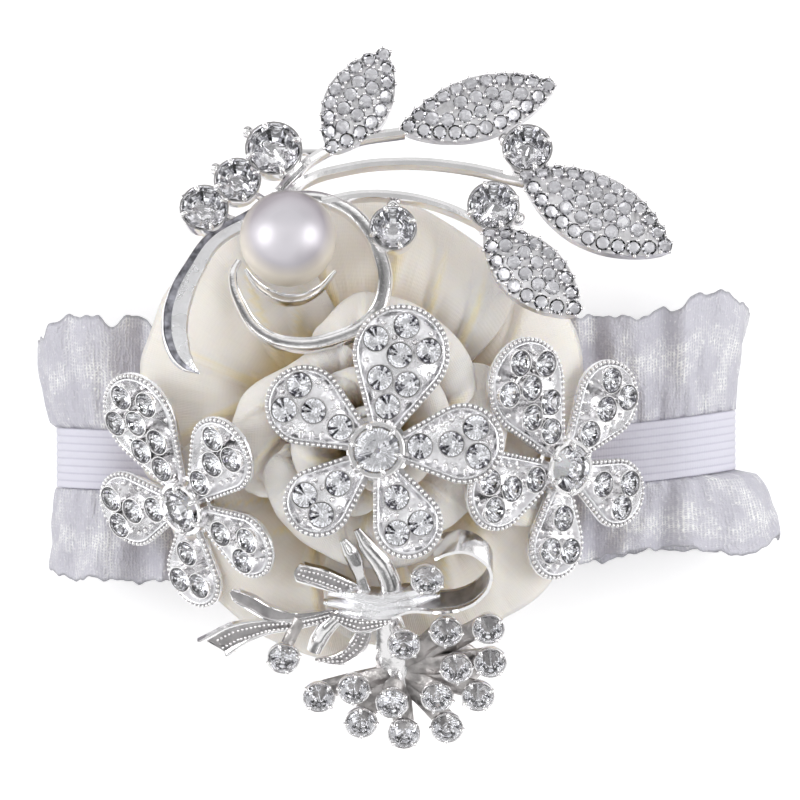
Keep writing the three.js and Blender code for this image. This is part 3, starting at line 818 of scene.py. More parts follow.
@dataclass(frozen=True)
class Satin:
    """Ivory satin ribbon with a UV map in millimetres, with a painted yellow glow where its openness is low:
    at the petals' roots and in their creases.
    """

    open_colour: Triple = (0.93, 0.845, 0.765)
    painted_glow_colour: Triple = (0.96, 0.81, 0.575)
    glow: Triple = (1.0, 0.66, 0.36)
    glow_depth: float = 3.0
    thread_pitch: float = 0.3

    def make(self) -> bpy.types.Material:
        """Makes the satin.

        Returns:
            The material.
        """
        sheet = NodeSheet("satin").set(
            Roughness=0.42, Sheen_Weight=0.2, Sheen_Roughness=0.4, Anisotropic=0.5, Specular_IOR_Level=0.45,
            Subsurface_Weight=0.45, Subsurface_Radius=self.glow, Subsurface_Scale=self.glow_depth * MM)
        # painted light: where openness is low the colour turns to a yellow glow, for light passed through and
        # bounced in the folds
        depth = sheet.math("ADD", sheet.attribute("openness"), sheet.drift(160, 2, 0.3))
        painted_warm_light = tuple(lerp(a, b, 0.35) for a, b in zip(self.open_colour, self.painted_glow_colour))
        tone = sheet.ramp(depth, (0.1, self.painted_glow_colour), (0.38, painted_warm_light), (0.75, self.open_colour))
        threads = 0.32 / self.thread_pitch
        warp = sheet.wave("X", threads, (1, 0.1, 1), 0.8)
        weft = sheet.wave("Y", threads, (0.1, 0.45, 1), 0.8)
        weave = sheet.math("ADD", warp, sheet.math("MULTIPLY", weft, 0.6))
        sheet.link(sheet.mix(1.0, tone, sheet.span(weave, 0.965, 1.0), "MULTIPLY"), "Base Color")
        pulls = sheet.noise(1.0, 2, (0.5, 0.07, 1), 0.6)
        relief = sheet.math("ADD", sheet.math("MULTIPLY", weave, 0.14), sheet.math("MULTIPLY", pulls, 1.6))
        sheet.bump(relief, 0.5, 0.3)
        return sheet.owner


@dataclass(frozen=True)
class Organza:
    """Sheer crinkled organza on a UV map in millimetres, with painted glints on its threads, a darker hem,
    and painted shade where a fold turns edge-on to the view.
    """

    colour: Triple = (0.66, 0.65, 0.725)
    painted_glint: Triple = (1.0, 1.0, 1.0)
    hem: Triple = (0.42, 0.42, 0.46)
    cover: Pair = (0.8, 1.0)
    thread_pitch: float = 0.42

    def make(self) -> bpy.types.Material:
        """Makes the organza.

        Returns:
            The material.
        """
        sheet = NodeSheet("organza").set(Roughness=0.35, Sheen_Weight=0.3, Sheen_Roughness=0.3)
        threads = 0.314 / self.thread_pitch
        warp = sheet.wave("X", threads, (1, 1, 1), 2.5, fine=0.5)
        weft = sheet.wave("Y", threads, (1, 1, 1), 4.0, fine=0.5)
        weave = sheet.math("MAXIMUM", warp, sheet.math("MULTIPLY", weft, 0.8))
        # painted glints: dashes, patches and specks brighten the threads towards white
        dashes, patches, painted_sparks = (
            sheet.ramp(sheet.noise(1.0, 2, stretch), (low, 0.0), (high, 1.0)) for stretch, low, high in (
                ((2.6, 1.2, 1), 0.42, 0.62), ((0.26, 0.19, 1), 0.46, 0.66), ((2.2, 1.4, 1), 0.62, 0.72)))
        lines = sheet.math("MULTIPLY", weave, sheet.math("ADD", sheet.math("MULTIPLY", dashes, 0.6), 0.4))
        shine = sheet.math("ADD", sheet.math("MULTIPLY", patches, 0.75), 0.22)
        threads_and_glints = sheet.math("ADD", sheet.math("MULTIPLY", lines, shine), sheet.math("MULTIPLY", painted_sparks, 0.35))
        hem = sheet.ramp(sheet.attribute("edge"), (0.6, 0.0), (0.8, 1.0))
        # painted shade: where the cloth turns edge-on to the view it takes the hem's darker colour
        rim = sheet.math("MAXIMUM", hem, sheet.ramp(sheet.facing(0.5), (0.86, 0.0), (0.96, 1.0)))
        cloth = sheet.ramp(threads_and_glints, (0.1, self.colour), (0.75, self.painted_glint))
        sheet.link(sheet.mix(sheet.math("MULTIPLY", rim, 0.8), cloth, (*self.hem, 1)), "Base Color")
        sheet.link(sheet.span(sheet.math("MAXIMUM", threads_and_glints, rim), *self.cover), "Alpha")
        sheet.bump(sheet.math("ADD", lines, dashes), 0.5, 0.15)
        return sheet.owner


@dataclass(frozen=True)
class ElasticKnit:
    """White knitted elastic, with stitches across its ribs and painted shade in the grooves that its mesh
    marks.
    """

    colour: Triple = (0.71, 0.7, 0.79)
    groove: Triple = (0.58, 0.57, 0.67)

    def make(self) -> bpy.types.Material:
        """Makes the elastic.

        Returns:
            The material.
        """
        sheet = NodeSheet("elastic_knit").set(Roughness=0.8, Sheen_Weight=0.3)
        stitches = sheet.wave("X", 0.6, (1.4, 1.4, 1.4), 1.5, 2)
        # painted shade: the colour darkens towards the groove colour down in the grooves between the ribs
        depth = sheet.math("ADD", sheet.attribute("groove"), sheet.math("MULTIPLY", stitches, -0.1))
        sheet.link(sheet.ramp(depth, (0.3, self.colour), (0.95, self.groove)), "Base Color")
        sheet.bump(sheet.math("ADD", stitches, sheet.noise(1500, 3)), 0.4, 0.06)
        return sheet.owner


@dataclass(frozen=True)
class Felt:
    """Pressed ivory felt, mottled and hairy."""

    colour: Triple = (0.86, 0.82, 0.74)

    def make(self) -> bpy.types.Material:
        """Makes the felt.

        Returns:
            The material.
        """
        sheet = NodeSheet("felt").set(Roughness=0.95, Sheen_Weight=0.4)
        fibres = sheet.noise(900, 6)
        sheet.link(sheet.ramp(fibres, (0.35, toned(self.colour, 0.85)), (0.65, self.colour)), "Base Color")
        sheet.bump(fibres, 0.8, 0.2)
        return sheet.owner


class Finish(Enum):
    """Every finish of the corsage, with its recipe."""

    SILVER = SilverPlate("silver")
    FROSTED = SilverPlate("frosted_silver", (0.94, 0.94, 0.96), (0.18, 0.36), 2200.0, 0.16)
    # painted shade: a darker silver laid in hollows where shade falls, standing partly for their oxide too
    SHADED = SilverPlate("shaded_silver", (0.5, 0.485, 0.49), (0.3, 0.45), 1800.0, 0.1, 600.0, 0.7)
    TRAY = SilverPlate("tray_silver", (0.86, 0.85, 0.87), (0.25, 0.4), 900.0, 0.3, 420.0, 0.8)
    MOTTLED = SilverPlate("mottled_silver", (0.5, 0.5, 0.56), (0.22, 0.4), 1300.0, 0.35, 700.0, 0.3)
    # a darker, mottled silver for the bow's stalks and its plate
    GREYED = SilverPlate("worn_silver", (0.62, 0.595, 0.585), (0.25, 0.42), 900.0, 0.45, 420.0, 0.45)
    CRYSTAL = Crystal()
    FOIL = Foil()
    # painted reflections: dark and grey foils that stand for dark surroundings mirrored in a gem's narrow
    # facets
    PAINTED_DARK_REFLECTION = Foil("painted_dark_reflection_foil", (0.1, 0.095, 0.12))
    PAINTED_GREY_REFLECTION = Foil("painted_grey_reflection_foil", (0.36, 0.36, 0.38))
    PEARL = PearlCoat()
    SATIN = Satin()
    ORGANZA = Organza()
    ELASTIC = ElasticKnit()
    FELT = Felt()


@cache
def material(finish: Finish) -> bpy.types.Material:
    """Returns a finish's material, which is made on its first use."""
    return finish.value.make()


def dressed(obj: Piece, *finishes: Finish) -> Piece:
    """Gives an object its finishes, in the order of its material slots.

    Args:
        obj: the object.
        finishes: its finishes.

    Returns:
        The object.
    """
    obj.data.materials.clear()
    for finish in finishes:
        obj.data.materials.append(material(finish))
    return obj


def set_piece(obj: Piece, name: str, place: Matrix, nodes: Sequence[str]) -> Piece:
    """Sets a finished piece in its place on the corsage.

    Args:
        obj: the piece, in its own group's millimetres.
        name: the piece's name.
        place: the group's place, in millimetres.
        nodes: the solids that it stands for.

    Returns:
        The piece, with its place in its mesh.
    """
    deselect()
    obj.name = obj.data.name = name
    obj.data.transform(Matrix.Scale(MM, 4) @ place)
    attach(obj, BODY)
    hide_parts(*nodes)
    log.info("%s: %d faces, for %s", name, len(obj.data.polygons), ", ".join(nodes))
    return obj


class Cut(Enum):
    """The cuts of rhinestone: with a flat table, or drawn up to a point."""

    TABLE = 0.5
    POINTED = 0.03


@dataclass
class Gem:
    """A round rhinestone: a cut glass crown over a foiled cone. Sizes are shares of its radius."""

    cut: Cut = Cut.TABLE
    sides: int = 10
    middle_share: float = 0.8
    middle_rise_share: float = 0.22
    crown_share: float = 0.34
    girdle_share: float = 0.06
    cone_share: float = 0.88
    cone_bulge_share: float = 0.04
    star_share: float = 0.45
    culet_share: float = 0.03
    wedge_turn: float = math.radians(8)
    wedge_foot: float = 2.6

    def model(self, fine: bool = True, pale: bool = False) -> Piece:
        """Models one gem of radius 1 with its girdle at height 0.

        Args:
            fine: whether the crown has its ring of small facets.
            pale: whether the painted reflection on its narrow facets is grey instead of dark.

        Returns:
            The gem, whose cone has a bright star with painted dark reflections on the narrow facets between
            its points.
        """
        half_side = math.pi / self.sides
        bottom = -self.girdle_share
        star_drop = bottom - self.cone_share * (1 - self.star_share) - self.cone_bulge_share
        rings = [
            (radius, height, turn)
            for radius, height in (
                (1.0, 0.0), (1.0, bottom), (self.star_share, star_drop),
                (self.culet_share, bottom - self.cone_share))
            for turn in (-self.wedge_turn, self.wedge_turn)
        ]
        rings.append((self.cut.value, self.crown_share, half_side))
        if fine:
            rings.append((self.middle_share, self.middle_rise_share, 0.0))
        deselect()
        for number, (radius, height, turn) in enumerate(rings):
            bpy.ops.mesh.primitive_circle_add(
                vertices=self.sides, radius=radius, location=(0, 0, height),
                rotation=(0, 0, turn + math.pi / 2))
            if number == 0:
                gem = bpy.context.active_object
                bpy.ops.object.mode_set(mode="EDIT")
        bpy.ops.mesh.select_all(action="SELECT")
        bpy.ops.mesh.convex_hull()
        bpy.ops.object.mode_set(mode="OBJECT")
        # painted reflection: the narrow outer facets of the cone take the dark foil, or the grey one when
        # pale
        dressed(gem, Finish.CRYSTAL, Finish.FOIL, Finish.PAINTED_GREY_REFLECTION if pale else Finish.PAINTED_DARK_REFLECTION)
        for face in gem.data.polygons:
            spot = face.center
            angle = (math.atan2(spot.y, spot.x) + math.pi) % (2 * half_side)
            narrow = min(angle, 2 * half_side - angle) < self.wedge_turn
            outer = spot.to_2d().length > (1 + self.star_share) / self.wedge_foot
            face.material_index = 0 if face.normal.z > -0.1 else 2 if narrow and outer else 1
        return gem


@dataclass
class GemSetting:
    """What holds a gem: a ring round its girdle, and claws."""

    wall_share: float = 0.17
    claw_share: float = 0.17
    claw_reach_share: float = 0.98
    claw_form: Triple = (1.5, 0.8, 1.15)
    claw_lean: float = math.radians(35)

    def ring(self, radius: float, bottom: float, girdle: float, steps: int = 20) -> Piece:
        """Models the ring, open in the middle.

        Args:
            radius: the gem's radius.
            bottom: the height of the ring's foot.
            girdle: the height of the gem's girdle.
            steps: sides of the ring.

        Returns:
            The ring, centred on the gem's axis.
        """
        wall = radius * self.wall_share
        lip = girdle + wall * 0.4
        profile = [
            (radius * 0.9, bottom), (radius + wall * 0.6, bottom), (radius + wall, girdle - wall),
            (radius + wall * 0.85, lip), (radius + wall * 0.45, lip), (radius * 0.99, girdle - wall * 0.5),
            (radius * 0.9, bottom),
        ]
        return smooth(turned(profile, steps), 50)

    def claws(self, radius: float, girdle: float, count: int, turn: float = 0.0) -> Piece:
        """Models the claws that fold over a gem's girdle.

        Args:
            radius: the gem's radius.
            girdle: the height of its girdle.
            count: how many.
            turn: the angle of the first one.

        Returns:
            All claws as one object.
        """
        size = radius * self.claw_share
        return stamped(moved(ball(size, segments=8, rings=6), Matrix.Diagonal((*self.claw_form, 1))), [
            Matrix.Rotation(turn + math.tau * i / count, 4, "Z")
            @ Matrix.Translation((radius * self.claw_reach_share, 0, girdle + size * 0.45))
            @ Matrix.Rotation(self.claw_lean, 4, "Y")
            for i in range(count)
        ])


def placed(gem: Piece, at: Vector, radius: float, turn: float = 0.0) -> Piece:
    """Scales a gem to its radius and sets it, turned, at a spot."""
    spin = Matrix.Rotation(turn, 4, "Z")
    return stamped(gem, [Matrix.Translation(at) @ spin @ Matrix.Scale(radius, 4)])


def stone_ring(radius: float, foot: Vector) -> list[Vector]:
    """Returns the widest and top corners of a plain cut stone, to find its place by.

    Args:
        radius: the stone's radius.
        foot: the middle of its foot.

    Returns:
        The corners of its foot, girdle and table.
    """
    height = radius * STONE_HEIGHT_SHARE
    levels = ((radius * 0.7, 0.0), (radius, height * 0.4), (radius * 0.6, height))
    return [
        foot + Vector((reach * math.cos(math.pi * k / 4), reach * math.sin(math.pi * k / 4), rise))
        for reach, rise in levels for k in range(8)
    ]


def seated(turn: Matrix, node: str, corners: Sequence[Vector]) -> Matrix:
    """Works out a brooch's place from one plain stone that it carries.

    Args:
        turn: the brooch's rotation.
        node: the stone's solid.
        corners: the stone's corners in the brooch's own millimetres.

    Returns:
        The brooch's place, in millimetres.
    """
    low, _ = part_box(node)
    own = [turn @ corner for corner in corners]
    origin = Vector(low[axis] / MM - min(point[axis] for point in own) for axis in range(3))
    return Matrix.Translation(origin) @ turn


@dataclass(frozen=True)
class PetalPlate:
    """One cast petal: a round tip drawn in to a narrow root, with places for its stones."""

    tip_distance: float
    tip_radius: float
    stones: tuple[Pair, ...]


@dataclass
class FlowerBrooch:
    """A flower brooch: five dished petal plates with beaded rims, set stones and a centre stone."""

    name: str
    lean_to: float
    lean: float
    spin: float
    petals: tuple[PetalPlate, ...] = (
        PetalPlate(13.8, 6.8, (
            (6.2, 0), (9.8, 1.95), (9.8, -1.95), (13.5, 0), (15, 3.8), (15, -3.8), (17.7, 0))),
        PetalPlate(12, 5.6, ((6, 0), (10.4, 0), (14, 2), (14, -2))),
        PetalPlate(11, 4.9, ((7.1, 0), (11.7, 1.8), (11.7, -1.8))),
        PetalPlate(11, 4.9, ((7.1, 0), (11.7, 1.8), (11.7, -1.8))),
        PetalPlate(12, 5.6, ((6, 0), (10.4, 0), (14, 2), (14, -2))),
    )
    petal_step: float = -72
    root_distance: float = 4
    root_radius: float = 2.2
    outline_sides: int = 72
    rim_height: float = 1.5
    rim_width: float = 0.75
    rim_crown: float = 0.05
    rim_step: float = 0.06
    edge_round: float = 0.1
    crease_degrees: float = 50
    band_height: float = 1.05
    band_width: float = 0.6
    plate_foot: float = 0.4
    slope_width: float = 0.7
    slope_split: float = 0.35
    floor_height: float = 0.55
    bead_radius: float = 0.31
    bead_pitch: float = 0.77
    bead_line: float = 0.3
    grain_radius: float = 0.42
    grain_pitch: float = 1.5
    grain_rows: Pair = (2.9, 4.4)
    grain_reach: float = 2.6
    ball_lift_share: float = 0.5
    hub_clearance: Pair = (0.3, 0.6)
    stone_radius: float = 1.7
    stone_girdle: float = 2.1
    stone_tilt: float = math.radians(4)
    seat_depth: float = 0.1
    seat_lip_share: float = 1.051
    centre_radius: float = 3.3
    centre_foot: float = 1.3
    centre_girdle: float = 2.75
    centre_cut: Cut = Cut.POINTED
    centre_sides: int = 14
    hub_radius: float = 4.4

    def __post_init__(self) -> None:
        """Works out the brooch's place."""
        axis = Vector((-math.sin(math.radians(self.lean_to)), math.cos(math.radians(self.lean_to)), 0))
        spin = Matrix.Rotation(math.radians(self.spin), 4, "Z")
        turn = Matrix.Rotation(math.radians(self.lean), 4, axis) @ spin
        corners = stone_ring(self.centre_radius, Vector((0, 0, self.centre_foot)))
        self.place = seated(turn, f"{self.name}_centre_stone", corners)

    def petal_turn(self, index: int) -> Matrix:
        """Returns the rotation of one petal about the hub."""
        return Matrix.Rotation(math.radians(self.petal_step * index), 4, "Z")

    def shoulder(self, petal: PetalPlate) -> float:
        """Returns the angle at which the straight side leaves the round tip."""
        return math.acos((self.root_radius - petal.tip_radius) / (petal.tip_distance - self.root_distance))

    def edge_line(self, petal: PetalPlate, inset: float) -> list[Vector]:
        """Returns the petal's edge from root to root, drawn in by an inset.

        Args:
            petal: the petal.
            inset: how far the line is drawn in.

        Returns:
            The line's points.
        """
        shoulder = self.shoulder(petal)
        ends = [
            Vector((self.root_distance + (self.root_radius - inset) * math.cos(shoulder),
                    side * (self.root_radius - inset) * math.sin(shoulder), 0)) for side in (-1, 1)
        ]
        return [ends[0], *self.arc(petal, inset, shoulder), ends[1]]

    def plate(self, petal: PetalPlate) -> Piece:
        """Models one dished plate from a circle, drawn in to its root, with painted shade on the ledge under
        its beads.

        Args:
            petal: the petal.

        Returns:
            The plate, on the X axis.
        """
        tip = Vector((petal.tip_distance, 0, self.plate_foot))
        shoulder = self.shoulder(petal)
        work = Workpiece.circle(self.outline_sides, petal.tip_radius, tip)
        work.pick(lambda p: abs(math.atan2(p.y, p.x - tip.x)) > shoulder, corners=True)
        share = self.root_radius / petal.tip_radius
        work.resize((share, share, 1), tip).move(Vector((self.root_distance - tip.x, 0, 0)))
        work.pick(lambda p: True).extrude(self.band_height - self.plate_foot).inset(self.band_width)
        work.inset(self.rim_step, self.rim_height - self.band_height - self.rim_crown)
        work.inset(self.rim_width - self.band_width, self.rim_crown)
        half = (self.rim_height - self.floor_height) / 2
        work.inset(self.edge_round).inset(self.slope_width * self.slope_split, -half)
        work.inset(self.slope_width * (1 - self.slope_split), -half)
        limit = math.radians(self.crease_degrees)
        obj = with_modifier(work.done(), "BEVEL", width=self.edge_round, segments=2, angle_limit=limit)
        dressed(obj, Finish.FROSTED, Finish.SHADED)
        # painted shade: the ledge under the beads takes the darker silver
        for face in obj.data.polygons:
            ledge = abs(face.center.z - self.band_height) < 0.08 and face.normal.z > 0.9
            face.material_index = int(ledge)
        return smooth(obj, self.crease_degrees)

    def grains(self, petal: PetalPlate) -> list[Vector]:
        """Places the small balls on a plate, clear of its stones.

        Args:
            petal: the petal.

        Returns:
            Their places.
        """
        clear = self.stone_radius + self.grain_radius * 1.5
        rows = (self.rim_width + self.slope_width + self.grain_radius, *self.grain_rows)
        lines = [
            self.edge_line(petal, row) if row < self.root_radius else self.arc(petal, row, self.grain_reach)
            for row in rows if row < petal.tip_radius - self.grain_radius
        ]
        places = [spot for line in lines for spot, _ in spaced(line, self.grain_pitch)]
        kept: list[Vector] = []
        stones = [Vector((along, across, 0)) for along, across in petal.stones]
        for spot in places:
            free = clear_of(spot, stones, clear) and clear_of(spot, kept, self.grain_radius * 3)
            if free and spot.length > self.hub_radius + self.hub_clearance[1]:
                kept.append(spot)
        return kept

    def arc(self, petal: PetalPlate, inset: float, reach: float) -> list[Vector]:
        """Returns a part circle round the tip, drawn in by an inset, as far as an angle to each side.

        Args:
            petal: the petal.
            inset: how far it is drawn in.
            reach: the angle.

        Returns:
            The arc's points.
        """
        steps = self.outline_sides // 2
        return [
            Vector((petal.tip_distance, 0, 0)) + Matrix.Rotation(lerp(-reach, reach, i / steps), 3, "Z")
            @ Vector((petal.tip_radius - inset, 0, 0)) for i in range(steps + 1)
        ]

    def hub(self) -> Piece:
        """Models the hub and the cup of the centre stone.

        Returns:
            The hub.
        """
        inner = self.centre_radius * 0.98
        lip = self.centre_girdle + 0.15
        profile = [
            (0, -0.6), (1.2, -0.6), (self.hub_radius - 0.2, 0), (self.hub_radius, 0.2),
            (self.hub_radius, 0.9), (inner + 0.75, 1.15), (inner + 0.75, lip - 0.2), (inner + 0.55, lip),
            (inner + 0.1, lip),
            (inner, self.centre_girdle - 0.2), (0.4, -0.4), (0, -0.4),
        ]
        return smooth(turned(profile, 48), 35)

    def casting(self) -> Piece:
        """Models the whole casting with its beads, grains and seats.

        Returns:
            The casting, with its finishes.
        """
        setting = GemSetting()
        turns = [(self.petal_turn(index), petal) for index, petal in enumerate(self.petals)]
        plates = [moved(self.plate(petal), turn) for turn, petal in turns]
        beads = stamped(ball(self.bead_radius, segments=8, rings=6), [
            turn @ Matrix.Translation(
                spot + Vector((0, 0, self.band_height + self.bead_radius * self.ball_lift_share)))
            for turn, petal in turns
            for spot, _ in spaced(self.edge_line(petal, self.bead_line), self.bead_pitch)
            if spot.length > self.hub_radius + self.hub_clearance[0]
        ])
        grains = stamped(ball(self.grain_radius, segments=8, rings=6), [
            turn @ Matrix.Translation(
                spot + Vector((0, 0, self.floor_height + self.grain_radius * self.ball_lift_share)))
            for turn, petal in turns for spot in self.grains(petal)
        ])
        seat = setting.ring(self.stone_radius, self.floor_height - self.seat_depth, self.stone_girdle)
        # painted shade: the seat's inner lip round the stone takes the darker silver
        for face in dressed(seat, Finish.SILVER, Finish.SHADED).data.polygons:
            face.material_index = int(face.center.to_2d().length < self.stone_radius * self.seat_lip_share)
        seats = stamped(seat, [
            turn @ Matrix.Translation((along, across, 0))
            for turn, petal in turns for along, across in petal.stones
        ])
        claws = setting.claws(self.centre_radius, self.centre_girdle, 6, math.radians(30))
        bright = [dressed(part, Finish.SILVER) for part in (beads, grains, claws, self.hub())]
        return joined([*plates, seats, *bright])

    def set_stones(self) -> Piece:
        """Models the stones of all five petals.

        Returns:
            The stones as one object.
        """
        gem = Gem().model()
        places = [
            self.petal_turn(index) @ Matrix.Translation((along, across, self.stone_girdle))
            @ Matrix.Rotation(self.stone_tilt * math.sin(2.4 * number + index), 4, "X")
            @ Matrix.Rotation(self.stone_tilt * math.cos(3.1 * number + index), 4, "Y")
            @ Matrix.Rotation(GOLDEN_ANGLE * (number + 3 * index), 4, "Z")
            @ Matrix.Scale(self.stone_radius, 4)
            for index, petal in enumerate(self.petals)
            for number, (along, across) in enumerate(petal.stones)
        ]
        return stamped(gem, places)

    def build(self) -> None:
        """Models the brooch's pieces and sets them in place."""
        set_piece(
            self.casting(), f"{self.name}_silver", self.place, [f"{self.name}_casting"])
        set_piece(
            self.set_stones(), f"{self.name}_set_stones", self.place,
            [f"{self.name}_petal_stones"])
        gem = Gem(self.centre_cut, self.centre_sides, crown_share=0.36, wedge_turn=math.radians(5))
        table = self.centre_cut is Cut.TABLE
        centre = placed(gem.model(table, table), Vector((0, 0, self.centre_girdle)), self.centre_radius)
        set_piece(centre, f"{self.name}_centre_gem", self.place, [f"{self.name}_centre_stone"])


@dataclass
class LeaningBrooch:
    """A flat brooch that leans about the X axis, drawn on its back plane by photo pixels."""

    centre_pixels: Pixels
    lean: float

    def at(self, pixels: Pixels, height: float = 0.0, rise: float = 0.0) -> Vector:
        """Returns the place, in the brooch's millimetres, that shows at a photo pixel.

        Args:
            pixels: the photo pixel.
            height: the height above the back plane at which it shows there.
            rise: the height of the returned place.

        Returns:
            The place on the back plane, raised by the rise.
        """
        lean = math.radians(self.lean)
        x = (pixels[0] - self.centre_pixels[0]) * PIXEL
        y = ((self.centre_pixels[1] - pixels[1]) * PIXEL + height * math.sin(lean)) / math.cos(lean)
        return Vector((x, y, rise))

    def line(self, pixels: Sequence[Pixels]) -> list[Vector]:
        """Returns a route of photo pixels on the back plane."""
        return [self.at(place) for place in pixels]

    def turn(self) -> Matrix:
        """Returns the brooch's rotation."""
        return Matrix.Rotation(math.radians(self.lean), 4, "X")


@dataclass(frozen=True)
class Leaf:
    """One leaf of the spray, from its base to its tip."""

    base_pixels: Pixels
    tip_pixels: Pixels
    half_width: float


@dataclass(frozen=True)
class CuppedStone:
    """A single stone of the spray, with the ball beside it."""

    pixels: Pixels
    radius: float
    ball_pixels: Pixels


@dataclass
class LeafSpray(LeaningBrooch):
    """The leaf spray brooch: stems, horn, scroll, four paved leaves, six stones and the pearl."""

    centre_pixels: Pixels = (370, 200)
    lean: float = -20
    leaves: tuple[Leaf, ...] = (
        Leaf((330, 156), (386, 54), 4.7), Leaf((401, 134), (556, 88), 4.6),
        Leaf((521, 177), (669, 254), 5.4), Leaf((484, 233), (577, 318), 4.6),
    )
    leaf_fullness: float = 0.72
    leaf_sides: int = 56
    leaf_steps: int = 160
    leaf_wall: float = 1.5
    leaf_rim: float = 0.3
    dome_height: float = 1.1
    dome_steps: tuple[Pair, ...] = ((0.8, 0.5), (0.75, 0.3), (0.6, 0.15), (0.5, 0.05))
    pave_radius: float = 1.06
    pave_pitch: float = 2.24
    pave_row: float = 2.1
    pave_room: float = 1.9
    pave_inset: float = 1.1
    pave_foot: float = 1.75
    pave_lean: Pair = (-0.5, 0.3)
    fill_rows: int = 12
    prong_radius: float = 0.3
    prong_count: int = 5
    prong_room: float = 1.08
    prong_gap: float = 0.75
    stems: tuple[tuple[Pixels, ...], ...] = (
        ((272, 203), (291, 181), (314, 160), (352, 143), (404, 134)),
        ((280, 203), (304, 184), (345, 171), (400, 165), (460, 169), (524, 183)),
        ((322, 205), (358, 198), (400, 199), (440, 208), (482, 226)),
    )
    stem_width: float = 1.7
    stem_height: float = 1.6
    horn: tuple[Pixels, ...] = (
        (268, 209), (249, 221), (214, 243), (195, 271), (182, 299), (177, 324), (180, 349), (188, 364),
        (201, 374))
    horn_shares: tuple[float, ...] = (0.5, 0.6, 0.68, 0.8, 0.97, 1, 0.9, 0.62, 0.06)
    horn_width: float = 3.6
    scroll: tuple[Pixels, ...] = (
        (268, 209), (300, 200), (336, 207), (364, 228), (380, 258), (385, 290), (372, 322), (336, 342),
        (294, 347), (262, 335), (243, 310), (234, 276), (240, 262),
    )
    scroll_width: float = 2
    scroll_height: float = 1.8
    crescent: tuple[Pixels, ...] = ((246, 271), (258, 288), (274, 299), (292, 303), (316, 295), (336, 273))
    crescent_width: float = 1.3
    links: tuple[tuple[Pixels, Pixels], ...] = (
        ((205, 212), (240, 222)), ((238, 184), (268, 203)), ((274, 153), (290, 176)),
        ((274, 153), (330, 153)), ((527, 152), (521, 180)), ((493, 210), (480, 226)),
        ((393, 232), (398, 201)),
    )
    link_width: float = 0.9
    link_height: float = 0.9
    pearl_pixels: Pixels = (289, 243)
    pearl_radius: float = 6.7
    pearl_height: float = 7.9
    dish: tuple[Pair, ...] = ((0, 0), (3, 0), (4, 0.9), (4.3, 2.1), (4, 2.25), (3, 1.55), (0, 0.9))
    stones: tuple[CuppedStone, ...] = (
        CuppedStone((205, 212), 3, (186, 199)), CuppedStone((238, 184), 2.9, (216, 168)),
        CuppedStone((274, 153), 3.5, (248, 131)), CuppedStone((527, 152), 3.1, (505, 140)),
        CuppedStone((493, 210), 3.2, (518, 219)), CuppedStone((393, 232), 2.9, (393, 207)),
    )
    seat_height: float = 1.2
    ball_radius: float = 1.0

    def __post_init__(self) -> None:
        """Works out the brooch's place from the pearl."""
        spot = self.at(self.pearl_pixels, self.pearl_radius, self.pearl_height)
        low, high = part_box("pearl")
        origin = (low + high) / 2 / MM - self.turn() @ spot
        self.place = Matrix.Translation(origin) @ self.turn()

    def leaf_frame(self, leaf: Leaf) -> tuple[Matrix, float]:
        """Returns a leaf's place on the back plane and its length.

        Args:
            leaf: the leaf.

        Returns:
            Its place, and its length.
        """
        base, tip = self.at(leaf.base_pixels), self.at(leaf.tip_pixels)
        along = tip - base
        turn = math.atan2(along.y, along.x)
        return Matrix.Translation(base) @ Matrix.Rotation(turn, 4, "Z"), along.length

    def leaf_half(self, share: float) -> float:
        """Returns half a leaf's width at a share of its length, as a share of its most."""
        return max(0.0, math.sin(math.pi * share)) ** self.leaf_fullness

    def leaf_outline(self, length: float, half_width: float) -> list[Vector]:
        """Returns a leaf's outline, going round from its base.

        Args:
            length: the leaf's length.
            half_width: half its width.

        Returns:
            The outline's points.
        """
        sides = self.leaf_sides // 2
        shares = [i / sides for i in range(sides)]
        lower = [Vector((length * share, -half_width * self.leaf_half(share), 0)) for share in shares]
        upper = [
            Vector((length * (1 - share), half_width * self.leaf_half(1 - share), 0)) for share in shares]
        return [*lower, *upper]

    def tray(self, leaf: Leaf) -> Piece:
        """Models a leaf's tray: a thin wall round a domed floor.

        Args:
            leaf: the leaf.

        Returns:
            The tray.
        """
        place, length = self.leaf_frame(leaf)
        middle = Vector((length / 2, 0, 0))
        work = Workpiece.outline(self.leaf_outline(length, leaf.half_width))
        work.pick(lambda p: True).extrude(self.leaf_wall)
        spread = 1 - self.leaf_rim / leaf.half_width
        work.ring().resize((1 - self.leaf_rim * 3 / length, spread, 1), middle)
        for share, rise in self.dome_steps:
            work.ring().resize((share, share, 1), middle).move(Vector((0, 0, rise * self.dome_height)))
        return moved(smooth(work.done(), 35), place)

